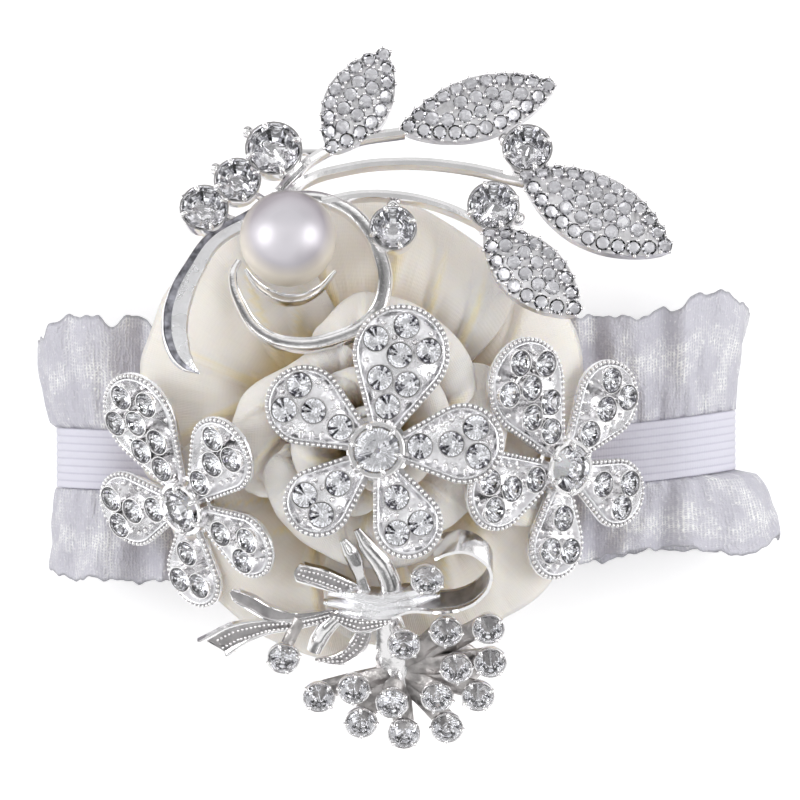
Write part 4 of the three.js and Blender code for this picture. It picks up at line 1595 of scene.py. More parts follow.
    def pave_places(self, leaf: Leaf) -> list[Matrix]:
        """Places a leaf's stones in rows that follow its outline, leaning outwards on its dome.

        Args:
            leaf: the leaf.

        Returns:
            A matrix for each stone.
        """
        place, length = self.leaf_frame(leaf)
        spots: list[Vector] = []
        reach = [
            (x, leaf.half_width * self.leaf_half(x / length) - self.pave_inset)
            for x in (length * i / self.leaf_steps for i in range(self.leaf_steps + 1))
        ]
        inside = [(x, half) for x, half in reach if half > 0]
        gaps = max(1, int(2 * (leaf.half_width - self.pave_inset) / self.pave_row))
        for k in range(gaps // 2 + 1):
            across = 1 - 2 * k / gaps
            for side in (1, -1):
                line = [Vector((x, side * across * half, 0)) for x, half in inside]
                row = [spot for spot, _ in spaced(line, self.pave_pitch)]
                if k % 2:
                    row = [(a + b) / 2 for a, b in zip(row, row[1:])]
                self.add_free(spots, row)
        self.add_free(spots, [
            Vector((x, half * k / self.fill_rows, 0)) for x, half in inside
            for k in range(-self.fill_rows, self.fill_rows + 1)])
        found = []
        for spot in spots:
            share = Vector((2 * spot.x / length - 1, spot.y / leaf.half_width))
            rise = self.dome_height * (1 - min(1.0, share.length_squared))
            over, along = share.y * self.pave_lean[0], share.x * self.pave_lean[1]
            lean = Matrix.Rotation(over, 4, "X") @ Matrix.Rotation(along, 4, "Y")
            found.append(place @ Matrix.Translation((spot.x, spot.y, self.pave_foot + rise)) @ lean)
        return found

    def add_free(self, spots: list[Vector], offered: Sequence[Vector]) -> None:
        """Adds those of the offered places that are clear of the stones already placed.

        Args:
            spots: the stones' places, which grow.
            offered: the places to try.
        """
        for spot in offered:
            if clear_of(spot, spots, self.pave_radius * self.pave_room):
                spots.append(spot)

    def prongs(self, places: Sequence[Matrix]) -> Piece:
        """Models the small prongs between paved stones.

        Args:
            places: the matrices of a leaf's stones.

        Returns:
            The prongs as one object.
        """
        reach = self.pave_radius + self.prong_radius * 0.4
        spots: list[Matrix] = []
        for spot in places:
            others = [other.translation for other in places if other is not spot]
            for corner in range(self.prong_count):
                angle = math.radians(360 / self.prong_count * corner) + spot.translation.x
                made = spot @ Matrix.Translation((reach * math.cos(angle), reach * math.sin(angle), 0.0))
                middle = made.translation
                free = clear_of(middle, others, self.pave_radius * self.prong_room)
                if free and clear_of(middle, [other.translation for other in spots], self.prong_gap):
                    spots.append(made)
        return stamped(ball(self.prong_radius, segments=7, rings=5), spots)

    def stone_spot(self, stone: CuppedStone) -> Vector:
        """Returns the middle of a cupped stone's girdle."""
        return self.at(stone.pixels, self.seat_height, self.seat_height + GIRDLE_SHARE * stone.radius)

    def cup(self, stone: CuppedStone) -> list[Piece]:
        """Models a stone's cup, claws and ball.

        Args:
            stone: the stone.

        Returns:
            Its pieces.
        """
        setting = GemSetting()
        spot = self.stone_spot(stone)
        foot = Vector((spot.x, spot.y, 0))
        cup = setting.ring(stone.radius, 0, spot.z, 32)
        floor = round_plate(stone.radius * 1.02, 0.25)
        claws = setting.claws(stone.radius, spot.z, 4, math.radians(20))
        for part in (cup, floor, claws):
            moved(part, foot)
        ball_foot = self.at(stone.ball_pixels, self.seat_height)
        knob = ball(self.ball_radius, ball_foot + Vector((0, 0, self.ball_radius)), 20, 12)
        arm = bar([foot, ball_foot], Section.FLAT, self.ball_radius, self.link_height)
        return [cup, floor, claws, knob, arm]

    def horn_taper(self, share: float) -> float:
        """Returns the horn's size at a share of its length."""
        return stepped(self.horn_shares, share)

    def horn_parts(self) -> list[Piece]:
        """Models the horn: a broad pale band with a dark streak and a bright rim along its outer side.

        Returns:
            Its three strips.
        """
        route = self.line(self.horn)
        parts = []
        for side, width, height, section, finish in (
            (0, 1, 1, Section.BAND, Finish.FROSTED), (0.28, 0.3, 1.06, Section.FLAT, Finish.MOTTLED),
            (0.46, 0.16, 1.16, Section.HALF_ROUND, Finish.SILVER),
        ):
            line = shifted(route, [side * self.horn_width * share for share in self.horn_shares])
            strip = bar(line, section, self.horn_width * width, self.stem_height * height, self.horn_taper)
            parts.append(dressed(strip, finish))
        return parts

    def scroll_taper(self, share: float) -> float:
        """Returns the scroll's size at a share of its length."""
        return 0.7 + 0.35 * math.sin(math.pi * min(1.0, share * 1.15)) - 0.3 * max(0.0, share - 0.85) / 0.15

    def crescent_taper(self, share: float) -> float:
        """Returns the crescent's size at a share of its length."""
        return 0.35 + 0.65 * math.sin(math.pi * share)

    def metal(self) -> Piece:
        """Models everything that is cast in one.

        Returns:
            The casting, with its finishes.
        """
        trays = dressed(joined([self.tray(leaf) for leaf in self.leaves]), Finish.TRAY)
        parts = [self.prongs(self.pave_places(leaf)) for leaf in self.leaves]
        parts += [
            bar(self.line(route), Section.HALF_ROUND, self.stem_width, self.stem_height)
            for route in self.stems]
        parts += [
            bar(self.line(route), Section.RIMMED, width, self.scroll_height, taper)
            for route, width, taper in (
                (self.scroll, self.scroll_width, self.scroll_taper),
                (self.crescent, self.crescent_width, self.crescent_taper))]
        parts += [
            bar(self.line(link), Section.HALF_ROUND, self.link_width, self.link_height)
            for link in self.links]
        for stone in self.stones:
            parts += self.cup(stone)
        spot = self.at(self.pearl_pixels, self.pearl_radius)
        dish = moved(smooth(turned(self.dish, 40), 40), spot)
        arm = bar([spot, self.at(self.horn[0])], Section.FLAT, self.horn_width * 0.8, self.link_height)
        whole = dressed(joined([*parts, dish, arm]), Finish.SILVER)
        return joined([whole, trays, *self.horn_parts()])

    def build(self) -> None:
        """Models the brooch's pieces and sets them in place."""
        set_piece(self.metal(), "spray_silver", self.place, ["spray_casting"])
        for number, leaf in enumerate(self.leaves, 1):
            gem = Gem(sides=8, cone_share=0.6).model(fine=False)
            places = [
                spot @ Matrix.Rotation(GOLDEN_ANGLE * i, 4, "Z") @ Matrix.Scale(self.pave_radius, 4)
                for i, spot in enumerate(self.pave_places(leaf))
            ]
            set_piece(
                stamped(gem, places), f"leaf_pave_stones_{number}", self.place,
                [f"leaf_pave_{number}"])
        spot = self.at(self.pearl_pixels, self.pearl_radius, self.pearl_height)
        pearl = dressed(ball(self.pearl_radius, spot, 64, 40), Finish.PEARL)
        set_piece(pearl, "pearl_bead", self.place, ["pearl"])
        for number, stone in enumerate(self.stones, 1):
            plain = Gem(sides=8).model(pale=True)
            gem = placed(plain, self.stone_spot(stone), stone.radius, GOLDEN_ANGLE * number)
            set_piece(gem, f"spray_gem_{number}", self.place, [f"spray_stone_{number}"])


def round_plate(radius: float, thickness: float) -> Piece:
    """Models a plain round plate with a softened edge.

    Args:
        radius: its radius.
        thickness: its thickness.

    Returns:
        The plate.
    """
    work = Workpiece.circle(32, radius)
    work.pick(lambda p: True).extrude(thickness)
    return with_modifier(work.done(), "BEVEL", width=thickness * 0.3, segments=1)


@dataclass(frozen=True)
class Ribbon:
    """One ribbon of the bow, from its free end to the knot, with its share of the width at each place."""

    width: float
    pixels: tuple[Pixels, ...]
    shares: tuple[float, ...]
    beaded: bool = False
    section: Section = Section.CHANNEL
    notch: float = 0.0
    slant: float = 0.0
    raised: float = 0.0

    def taper(self, share: float) -> float:
        """Returns the ribbon's size at a share of its length."""
        return stepped(self.shares, share)


@dataclass
class BowBrooch(LeaningBrooch):
    """The bow brooch: a knot, ribbons with beaded channels, and a bunch of stones on stalks."""

    centre_pixels: Pixels = (370, 598)
    lean: float = 28
    ribbon_height: float = 1.1
    band_height: float = 2.2
    knots: tuple[tuple[Pixels, ...], ...] = (
        ((328, 591), (356, 590), (384, 593), (410, 588), (436, 587)),
        ((324, 600), (356, 601), (384, 598), (410, 597), (440, 593)),
        ((338, 610), (364, 608), (388, 606), (408, 603), (426, 600)),
    )
    knot_width: float = 2.3
    knot_height: float = 2.5
    core_pixels: Pixels = (380, 599)
    core_size: Triple = (5.2, 1.9, 2.3)
    loop: tuple[Pixels, ...] = (
        (392, 597), (406, 591), (438, 591), (464, 587), (481, 576), (490, 561), (489, 548), (480, 538),
        (466, 531), (449, 532), (434, 538))
    loop_thickness: float = 0.5
    loop_flare: float = -0.38
    stripe_inset: float = 0.12
    stripe_share: float = 0.72
    ribbons: tuple[Ribbon, ...] = (
        Ribbon(3.1, ((297, 567), (301, 569), (322, 575), (345, 584), (366, 591)),
               (0.55, 0.95, 1, 0.85, 0.6), True),
        Ribbon(2.3, ((232, 590), (237, 593), (250, 599), (270, 610), (298, 615), (334, 610)),
               (0.3, 0.8, 1, 1, 0.6, 0.4)),
        Ribbon(4.2, ((217, 643), (236, 633), (266, 625), (298, 622), (334, 613)),
               (1, 0.95, 0.58, 0.42, 0.35), True, notch=0.9, slant=1.9),
        Ribbon(2.6, ((367, 620), (357, 643), (342, 656), (315, 659)), (0.8, 1, 0.8, 0.15), True),
        Ribbon(2.6, ((314, 650), (319, 638), (327, 626), (342, 612)), (0.8, 1, 1, 0.8),
               section=Section.HALF_ROUND),
        Ribbon(2.2, ((343, 538), (350, 549), (356, 561), (361, 575), (368, 594)), (0.5, 1, 1, 0.75, 0.7),
               section=Section.HALF_ROUND, raised=1.6),
        Ribbon(3, ((357, 528), (368, 545), (382, 562), (390, 580), (392, 597)), (0.35, 0.8, 1, 1, 1),
               section=Section.HALF_ROUND, raised=1.2),
        Ribbon(6, ((386, 604), (391, 628), (396, 654), (398, 690)), (0.5, 0.72, 1, 1),
               section=Section.HALF_ROUND),
    )
    bead_radius: float = 0.23
    bead_pitch: float = 0.62
    bead_rows: Pair = (-0.17, 0.17)
    bead_lift_share: float = 0.6
    floor_shares: Pair = (0.68, 0.52)
    leaf_lift_share: float = 0.6
    bead_leaf: tuple[Pixels, ...] = ((330, 609), (361, 618), (394, 614))
    bead_leaf_width: float = 2.5
    stone_radius: float = 2.15
    cup_height: float = 2
    seat_height: float = 1.2
    stalk_root: Pixels = (398, 672)
    stalk_width: float = 3.0
    side_stalk_width: float = 1.8
    stalk_height: float = 0.8
    loop_depth: float = 1.4
    end_reach: float = 0.3
    plate_pixels: Pixels = (444, 664)
    plate_size: Triple = (5.6, 4.2, 1.3)
    collar_share: float = 1.1
    side_stones: tuple[tuple[Pixels, Pixels], ...] = (
        ((404, 637), (400, 662)), ((284, 651), (300, 618)), ((427, 572), (410, 594)),
    )
    bunch: tuple[Pixels, ...] = (
        (446, 624), (488, 621), (456, 661), (490, 655), (437, 690), (478, 689),
        (392, 696), (447, 721), (404, 727), (361, 716), (354, 682), (319, 690),
    )

    def __post_init__(self) -> None:
        """Works out the brooch's place from its first stone."""
        foot = self.at(self.side_stones[0][0], self.cup_height, self.cup_height + self.seat_height)
        corners = stone_ring(self.stone_radius, foot)
        self.place = seated(self.turn(), "bow_stone_1", corners)

    def stalks(self) -> list[tuple[Pixels, Pixels]]:
        """Returns every stone's place with its stalk's root."""
        return [*self.side_stones, *((place, self.stalk_root) for place in self.bunch)]

    def girdle(self, pixels: Pixels) -> Vector:
        """Returns the middle of a stone's girdle."""
        foot = self.cup_height + self.seat_height
        return self.at(pixels, self.cup_height, foot + GIRDLE_SHARE * self.stone_radius)

    def holder(self, pixels: Pixels, root: Pixels) -> list[Piece]:
        """Models a stone's stalk, seat and claws.

        Args:
            pixels: the stone's place.
            root: the stalk's root.

        Returns:
            The stalk, the seat and the claws.
        """
        spot = self.girdle(pixels)
        start = self.at(root)
        end = Vector((spot.x, spot.y, self.cup_height))
        middle = (start + end) / 2
        middle.z = self.cup_height * 0.35
        width = self.stalk_width if root == self.stalk_root else self.side_stalk_width
        stalk = bar([start, middle, end], Section.HALF_ROUND, width, self.stalk_height)
        radius = self.stone_radius
        collar, top = radius * self.collar_share, spot.z - end.z
        seat = smooth(turned([
            (0, -0.5), (radius * 0.45, -0.5), (radius * 0.8, 0.1), (collar, top - 0.5), (collar, top),
            (collar - 0.08, top + 0.12), (radius * 0.99, top + 0.1), (0.3, -0.2), (0, -0.2),
        ], 24), 40)
        claws = GemSetting().claws(radius, 0, 4, math.radians(pixels[0]))
        return [stalk, moved(seat, end), moved(claws, spot)]

    def ribbon(self, ribbon: Ribbon) -> list[Piece]:
        """Models one ribbon: its rims, the floor between them in darker silver as painted shade, partly also
        oxide, and its rows of beads.

        Args:
            ribbon: the ribbon.

        Returns:
            Its pieces, with their finishes.
        """
        last = len(ribbon.pixels) - 1
        lifts = [ribbon.raised * (1 - 0.6 * i / last) for i in range(last + 1)]
        route = [self.at(place, lift, lift) for place, lift in zip(ribbon.pixels, lifts)]
        body = bar(route, ribbon.section, ribbon.width, self.ribbon_height, ribbon.taper)
        parts = [dressed(body, Finish.SILVER)]
        if ribbon.section is Section.CHANNEL:
            wide, high = self.floor_shares
            floor = bar(route, Section.FLAT, ribbon.width * wide, self.ribbon_height * high, ribbon.taper)
            # painted shade, partly oxide: the channel's floor in the darker silver
            parts.append(dressed(floor, Finish.SHADED))
        along = (route[1] - route[0]).normalized()
        across = Vector((-along.y, along.x, 0))
        for part in parts:
            for vertex in part.data.vertices:
                offset = vertex.co - route[0]
                if ribbon.notch and offset.dot(along) < self.end_reach:
                    share = 2 * offset.dot(across) / ribbon.width
                    vertex.co += along * (ribbon.notch * max(0.0, 1 - abs(share)) - ribbon.slant * share)
        if ribbon.beaded:
            beads = self.beads(route, ribbon, self.ribbon_height * self.bead_lift_share)
            parts.append(dressed(beads, Finish.SILVER))
        return parts

    def beads(self, route: Sequence[Vector], ribbon: Ribbon, height: float) -> Piece:
        """Models the rows of beads along a ribbon.

        Args:
            route: the ribbon's route.
            ribbon: the ribbon.
            height: the beads' height.

        Returns:
            The beads as one object.
        """
        places = []
        spots = spaced(route, self.bead_pitch)
        for number, (spot, along) in enumerate(spots[1:-1], 1):
            across = Vector((-along.y, along.x, 0)) * ribbon.width * ribbon.taper(number / (len(spots) - 1))
            foot = spot + Vector((0, 0, height))
            places += [Matrix.Translation(foot + across * row) for row in self.bead_rows]
        return stamped(ball(self.bead_radius, segments=8, rings=6), places)

    def lump(self, pixels: Pixels, size: Triple) -> Piece:
        """Models a rounded lump, half over the back plane."""
        return moved(
            ball(1, segments=32, rings=16), Matrix.Translation(self.at(pixels)) @ Matrix.Diagonal((*size, 1)))

    def standing_loop(self) -> list[Piece]:
        """Models the loop: a band that stands on edge and flares, with a stripe of painted shade round its
        inside.

        Returns:
            The band and its stripe.
        """
        height = self.band_height + self.loop_depth
        route = [self.at(place, -self.loop_depth, -self.loop_depth) for place in self.loop]
        middle = sum(route, Vector()) / len(route)
        lift = Vector((0, 0, height * (1 - self.stripe_share) / 2))
        inner = [place - (place - middle).normalized() * self.stripe_inset + lift for place in route]
        # the inner strip, in the darker silver, is painted shade
        parts = [
            dressed(bar(route, Section.FLAT, self.loop_thickness, height), Finish.SILVER),
            dressed(bar(inner, Section.FLAT, self.loop_thickness, height * self.stripe_share), Finish.SHADED)]
        for part in parts:
            for vertex in part.data.vertices:
                vertex.co.y += (vertex.co.z + self.loop_depth) * self.loop_flare
        return parts

    def metal(self) -> Piece:
        """Models everything that is cast in one.

        Returns:
            The casting, with its finishes.
        """
        dressed_parts = [part for ribbon in self.ribbons for part in self.ribbon(ribbon)]
        dressed_parts += self.standing_loop()
        dressed_parts.append(dressed(self.lump(self.plate_pixels, self.plate_size), Finish.GREYED))
        knot = joined([self.lump(self.core_pixels, self.core_size), *(
            bar(self.line(strand), Section.HALF_ROUND, self.knot_width, self.knot_height,
                lambda share: 0.3 + 0.7 * math.sin(math.pi * share) ** 0.6) for strand in self.knots)])
        leaf = Ribbon(self.bead_leaf_width, self.bead_leaf, (0.25, 1, 0.25), True)
        lift = Vector((0, 0, self.band_height * self.leaf_lift_share))
        leaf_parts = [moved(part, lift) for part in self.ribbon(leaf)]
        for pixels, root in self.stalks():
            stalk, *cup = self.holder(pixels, root)
            dressed_parts += [dressed(stalk, Finish.GREYED), *(dressed(part, Finish.SILVER) for part in cup)]
        return joined([dressed(knot, Finish.FROSTED), *dressed_parts, *leaf_parts])

    def build(self) -> None:
        """Models the brooch's pieces and sets them in place."""
        set_piece(self.metal(), "bow_silver", self.place, ["bow_casting"])
        for number, (pixels, _) in enumerate(self.stalks(), 1):
            plain = Gem(sides=8).model(pale=True)
            gem = placed(plain, self.girdle(pixels), self.stone_radius, GOLDEN_ANGLE * number)
            set_piece(gem, f"bow_gem_{number}", self.place, [f"bow_stone_{number}"])


@dataclass(frozen=True)
class Crease:
    """A crease of a petal, that runs slanting from its root to its rim."""

    start: float
    slant: float
    strength: float
    width: float = 0.05

    def depth(self, share: float, lift: float) -> float:
        """Returns how far the petal rises there: a sharp groove beside a soft ridge.

        Args:
            share: the share of the petal's width.
            lift: the share from root to rim.

        Returns:
            The rise.
        """
        away = (share - self.start - self.slant * (lift - 0.5)) / self.width
        ridge = math.exp(-((away - 1.3) / 1.4) ** 2)
        groove = math.exp(-(away * 1.6) ** 2)
        return self.strength * (ridge - 1.3 * groove) * math.sin(math.pi * min(1.0, 0.15 + lift * 0.85))


@dataclass(frozen=True)
class PetalLayer:
    """One layer of the rose: its petals wind inwards from the second level to the first."""

    name: str
    count: int
    start: float
    sweep: float
    levels: Pair
    creases: float
    folds: int
    reach: tuple[Pair, ...] = ((0, 0), (360, 0))

    def extra(self, degrees: float) -> float:
        """Returns how far the layer reaches past its circle in a direction."""
        return eased(self.reach, degrees % 360)


@dataclass
class SatinRose:
    """The folded satin rose on its base. Level 0 is the outermost profile, level 1 the axis."""

    centre_pixels: Pixels = (370, 430)
    root_z: float = 23.5
    radius: float = 33
    root_radius: float = 14.5
    height: float = 22
    outer_crest_share: float = 0.3
    crest_radius_share: float = 0.86
    droop: float = 5
    inner_droop: float = 0.6
    flare_share: float = 0.1
    rise_share: float = 1.12
    outer_rise_share: float = 0.6
    corner_share: float = 0.62
    cloth: float = 0.5
    deep_lift: float = 0.18
    crease_glow_share: float = 0.95
    base_openness: float = 0.6
    base_profile: tuple[Pair, ...] = ((0, 0), (20.6, 0), (21, 0.35), (20.9, 0.9), (20.4, 1.2), (0, 1.2))
    base_drop: float = 1.5
    gather_waves: int = 26
    drape_waves: int = 11
    fine_waves: int = 19
    columns_per_turn: int = 220
    rows: int = 26
    layers: tuple[PetalLayer, ...] = (
        PetalLayer("outer_petal", 5, -38, 98, (0.14, 0.01), 0.6, 5, (
            (0, 0), (60, 0.4), (85, 1.3), (106, 1.6), (126, 4.4), (144, 4), (160, 2.6), (175, 0.6), (215, 1),
            (280, 0.8), (310, 1.4), (340, 0.2), (360, 0))),
        PetalLayer("middle_petal", 4, 8, 122, (0.52, 0.38), 0.6, 5, (
            (0, 0), (92, 0), (114, -3.4), (142, -3.4), (170, 0), (360, 0))),
        PetalLayer("inner_petal", 2, 60, 225, (0.77, 0.6), 0.45, 5),
    )
    bud: PetalLayer = PetalLayer("rose_bud", 1, 20, 800, (0.965, 0.86), 0.12, 9)

    def profile(self, level: float, lift: float) -> Vector:
        """Returns the radius and height of the rose at a level and a lift from root to rim.

        Args:
            level: from the outermost petals to the axis.
            lift: the share from root to rim.

        Returns:
            The radius and the height.
        """
        outward = 1 - level
        rim, root = self.radius * outward, self.root_radius * outward
        crest = self.height * lerp(self.outer_crest_share, 1, 1 - outward * outward)
        droop = self.droop * outward ** 2.2 + self.inner_droop
        radii = (root, root + (rim - root) * self.flare_share, rim * self.crest_radius_share, rim)
        rise = self.rise_share + self.outer_rise_share * outward ** 4
        heights = (0, crest * rise, crest + droop / 2, crest - droop)
        down = 1 - lift
        weights = (down ** 3, 3 * down * down * lift, 3 * down * lift * lift, lift ** 3)
        return Vector((
            sum(w * r for w, r in zip(weights, radii)),
            sum(w * h for w, h in zip(weights, heights))))

    def sheet(self, layer: PetalLayer, number: int, seed: int) -> tuple[Piece, Triple]:
        """Models one petal as a creased sheet.

        Args:
            layer: the petal's layer.
            number: which petal of the layer it is.
            seed: sets its own creases.

        Returns:
            The petal with its thickness, and the width, length and area that its satin was cut to.
        """
        rng = random.Random(seed)
        columns = max(24, round(self.columns_per_turn * layer.sweep / 360))
        start = layer.start + 360 / layer.count * number
        phases = [rng.uniform(0, math.tau) for _ in range(4)]
        creases = [
            Crease((k + rng.uniform(0.3, 0.7)) / layer.folds, rng.uniform(-0.5, 0.5), rng.uniform(0.8, 1.6),
                   rng.uniform(0.02, 0.045))
            for k in range(layer.folds)]
        points, openness, places = [], [], []
        for i in range(columns + 1):
            share = i / columns
            top = 1 - self.corner_share * abs(2 * share - 1) ** 7
            level = lerp(*layer.levels, share)
            angle = math.radians(start + layer.sweep * share)
            for j in range(self.rows + 1):
                lift = top * j / self.rows
                spot = self.profile(level, lift)
                spot.x += layer.extra(start + layer.sweep * share) * lift
                ahead = self.profile(level, min(1, lift + 0.02)) - self.profile(level, max(0, lift - 0.02))
                normal = Vector((-ahead.y, ahead.x)).normalized() * -1
                turns = layer.sweep * share / 360 * math.tau
                gather = (1 - lift) ** 2 * math.sin(
                    self.gather_waves * turns + 3 * math.sin(3 * turns + phases[0]))
                drape = math.sin(self.drape_waves * turns + 3 * lift + phases[1])
                drape *= math.sin(2.5 * lift + 0.4 * phases[2])
                drape += 0.5 * math.sin(self.fine_waves * turns - 5 * lift + phases[3]) * (1 - 0.6 * lift)
                fold = sum(crease.depth(share, lift) for crease in creases)
                offset = layer.creases * (gather * 0.6 + drape * 0.6 + fold) * spot.x / (spot.x + 4)
                spot = spot + normal * offset
                points.append(Vector((spot.x * math.cos(angle), spot.x * math.sin(angle), spot.y)))
                # openness is low near the root and in each crease's groove, where the satin paints its glow
                clear = min(1.0, max(0.0, (lift - self.deep_lift) * 4))
                openness.append(max(0.0, clear + self.crease_glow_share * min(0.0, fold)))
                places.append((self.radius * (1 - level) * turns, lift))
        stride = self.rows + 1
        rim, waist = (
            [(points[(i + 1) * stride + j] - points[i * stride + j]).length for i in range(columns)]
            for j in (self.rows, self.rows // 2))
        width = sum(rim)
        lengths = [
            sum((points[i * stride + j + 1] - points[i * stride + j]).length for j in range(self.rows))
            for i in range(columns + 1)]
        length = max(lengths)
        area = sum(lengths[i] * waist[i] for i in range(columns))
        obj = painted(mesh_object(layer.name, points, grid_faces(columns + 1, stride)), "openness", openness)
        uv = obj.data.uv_layers.new(name="Threads")
        for loop in obj.data.loops:
            along, lift = places[loop.vertex_index]
            uv.data[loop.index].uv = (along, lift * length)
        with_modifier(obj, "SOLIDIFY", thickness=self.cloth, offset=-1)
        take(obj)
        bpy.ops.object.shade_smooth()
        return obj, (width, length, area)

    def build(self) -> None:
        """Models the base and every petal, and sets them in place."""
        centre = Matrix.Translation(plan(self.centre_pixels))
        base = moved(turned(self.base_profile, 64), Vector((0, 0, self.root_z - self.base_drop)))
        # the base disc takes a middling openness, so it is painted part way to the glow
        painted(base, "openness", [self.base_openness] * len(base.data.vertices))
        set_piece(
            smooth(dressed(base, Finish.SATIN), 40), "rose_base_disc", centre, ["rose_base"])
        seed = 0
        for layer in (*self.layers, self.bud):
            for number in range(layer.count):
                seed += 1
                node = layer.name if layer.count == 1 else f"{layer.name}_{number + 1}"
                petal, (width, length, area) = self.sheet(layer, number, seed)
                dressed(petal, Finish.SATIN)
                set_piece(
                    petal, f"{node}_satin", centre @ Matrix.Translation((0, 0, self.root_z)), [node])
                log.info("%s is cut to %.1f by %.1f mm", node, width, length)


@dataclass(frozen=True)
class Ruffle:
    """One gathered ruffle: its width, its side, the flare and fullness of its ends, and its front edge."""

    name: str
    width: float
    side: int
    flare_left: Pair
    flare_right: Pair
    edge: tuple[Pixels, ...]

    def edge_y(self, x: float) -> float:
        """Returns the y of the front edge at an x, from its photo pixels."""
        places = [plan(pixels).xy for pixels in self.edge]
        return eased(places, min(max(x, places[0].x), places[-1].x))


@dataclass
class Wristband:
    """The looped elastic band with a ruffle along each edge, and the felt that carries the rose."""

    centre_pixels: Pixels = (396, 466)
    half_length: float = 48.2
    end_radius: float = 10
    rise_left: float = 1.1
    rise_right: float = 3.6
    elastic_width: float = 8.4
    elastic_thickness: float = 1.4
    rib_count: int = 8
    rib_depth: float = 0.14
    rib_samples: int = 6
    elastic_steps: int = 480
    cloth: float = 0.16
    folds: int = 26
    steps_per_fold: int = 24
    rows: int = 20
    root_depth: float = 0.4
    edge_depth: float = 2.4
    back_share: float = 0.82
    hem_share: float = 0.93
    fullness: float = 1.25
    first_seed: int = 21
    ruffles: tuple[Ruffle, ...] = (
        Ruffle("upper_ruffle", 14.6, 1, (3.1, 0.4), (2.2, 1.4), (
            (37, 338), (46, 322), (62, 315), (94, 315), (108, 327), (122, 315), (138, 316), (152, 325),
            (200, 318), (300, 322), (420, 316), (540, 320), (576, 316), (612, 315), (640, 317), (668, 307),
            (680, 309), (701, 293), (734, 290), (751, 302),
        )),
        Ruffle("lower_ruffle", 12.6, -1, (1.2, 0.6), (6.8, 0.28), (
            (47, 574), (60, 580), (71, 582), (89, 579), (115, 582), (138, 584), (166, 582), (260, 574),
            (400, 578), (520, 572), (578, 566), (610, 557), (640, 551), (688, 548), (705, 551), (749, 557),
            (770, 552), (784, 534),
        )),
    )
    felt_radius: float = 24
    felt_thickness: float = 1.4
    felt_z: float = 20.3

    def __post_init__(self) -> None:
        """Works out the loop's lengths."""
        self.centre_x = plan(self.centre_pixels).x
        self.straight = self.half_length - self.end_radius
        self.fold = math.pi * self.end_radius
        self.loop = 4 * self.straight + 2 * self.fold
        self.top_z = 2 * self.end_radius

    def station(self, distance: float) -> tuple[float, float, Vector]:
        """Returns x, z and the outward direction at a distance along the loop.

        Args:
            distance: the distance.

        Returns:
            x, z and the direction.
        """
        distance %= self.loop
        back = self.straight + self.fold
        left = back + 2 * self.straight
        for start, sign in ((self.straight, 1), (left, -1)):
            if start < distance < start + self.fold:
                angle = (distance - start) / self.end_radius
                out = Vector((sign * math.sin(angle), 0, sign * math.cos(angle)))
                middle = self.centre_x + sign * self.straight
                return middle + out.x * self.end_radius, self.end_radius + out.z * self.end_radius, out
        if back <= distance <= left:
            return self.centre_x + self.straight - (distance - back), 0, Vector((0, 0, -1))
        along = distance if distance <= self.straight else distance - self.loop
        return self.centre_x + along, self.top_z, Vector((0, 0, 1))

    def middle_y(self, x: float) -> float:
        """Returns the height in the picture of the band's middle line."""
        share = (x - self.centre_x) / self.half_length
        return (self.rise_left if share < 0 else self.rise_right) * share * share

    def loop_mesh(
        self, name: str, columns: int, rows: Sequence[float], spot: Callable[[int, int], Vector], closed: bool
    ) -> Piece:
        """Makes a mesh round the loop from its grid of points.

        Args:
            name: the object's name.
            columns: steps round the loop.
            rows: each row's place across, in millimetres, for the UV map.
            spot: gives the point at a column and a row.
            closed: whether the last row joins the first.

        Returns:
            The mesh, with a UV map in millimetres.
        """
        count = len(rows)
        points = [spot(i, j) for i in range(columns) for j in range(count)]
        obj = mesh_object(name, points, grid_faces(columns, count, True, closed))
        uv = obj.data.uv_layers.new(name="Threads")
        for number, polygon in enumerate(obj.data.polygons):
            column = number // (count if closed else count - 1)
            for k, loop in enumerate(polygon.loop_indices):
                step = column + (1 if k in (1, 2) else 0)
                row = rows[polygon.vertices[k] % count]
                uv.data[loop].uv = (self.loop * step / columns, row)
        edited(obj, face_out)
        bpy.ops.object.shade_smooth()
        return obj

    def elastic(self) -> Piece:
        """Models the ribbed elastic as a closed band.

        Returns:
            The band.
        """
        pitch = self.elastic_width / self.rib_count
        outer = []
        for k in range(self.rib_count * self.rib_samples + 1):
            across = k * pitch / self.rib_samples
            groove = abs(math.cos(math.pi * across / pitch)) ** 6
            outer.append((across - self.elastic_width / 2, self.rib_depth * groove))
        inner = [(-across, self.elastic_thickness - depth) for across, depth in outer]
        section = [*outer, *inner]
        columns = self.elastic_steps

        def spot(i: int, j: int) -> Vector:
            """Returns the point at a column and a place in the section.

            Args:
                i: the column.
                j: the place in the section.

            Returns:
                The point.
            """
            x, z, out = self.station(self.loop * i / columns)
            across, depth = section[j]
            return Vector((x, self.middle_y(x) + across, z)) - out * (depth + 0.05 * math.sin(1.7 * i) ** 2)

        obj = self.loop_mesh("elastic", columns, [across for across, _ in section], spot, True)
        return painted(obj, "groove", [depth / self.rib_depth for _, depth in outer] * 2 * columns)

    def ruffle(self, ruffle: Ruffle, seed: int) -> Piece:
        """Models one ruffle: deep folds at its edge, fine gathers at its root.

        Args:
            ruffle: its sizes.
            seed: sets its gathers.

        Returns:
            The ruffle.
        """
        rng = random.Random(seed)
        columns = self.folds * self.steps_per_fold
        phases = [rng.uniform(0, math.tau) for _ in range(8)]
        shares = [j / self.rows for j in range(self.rows + 1)]

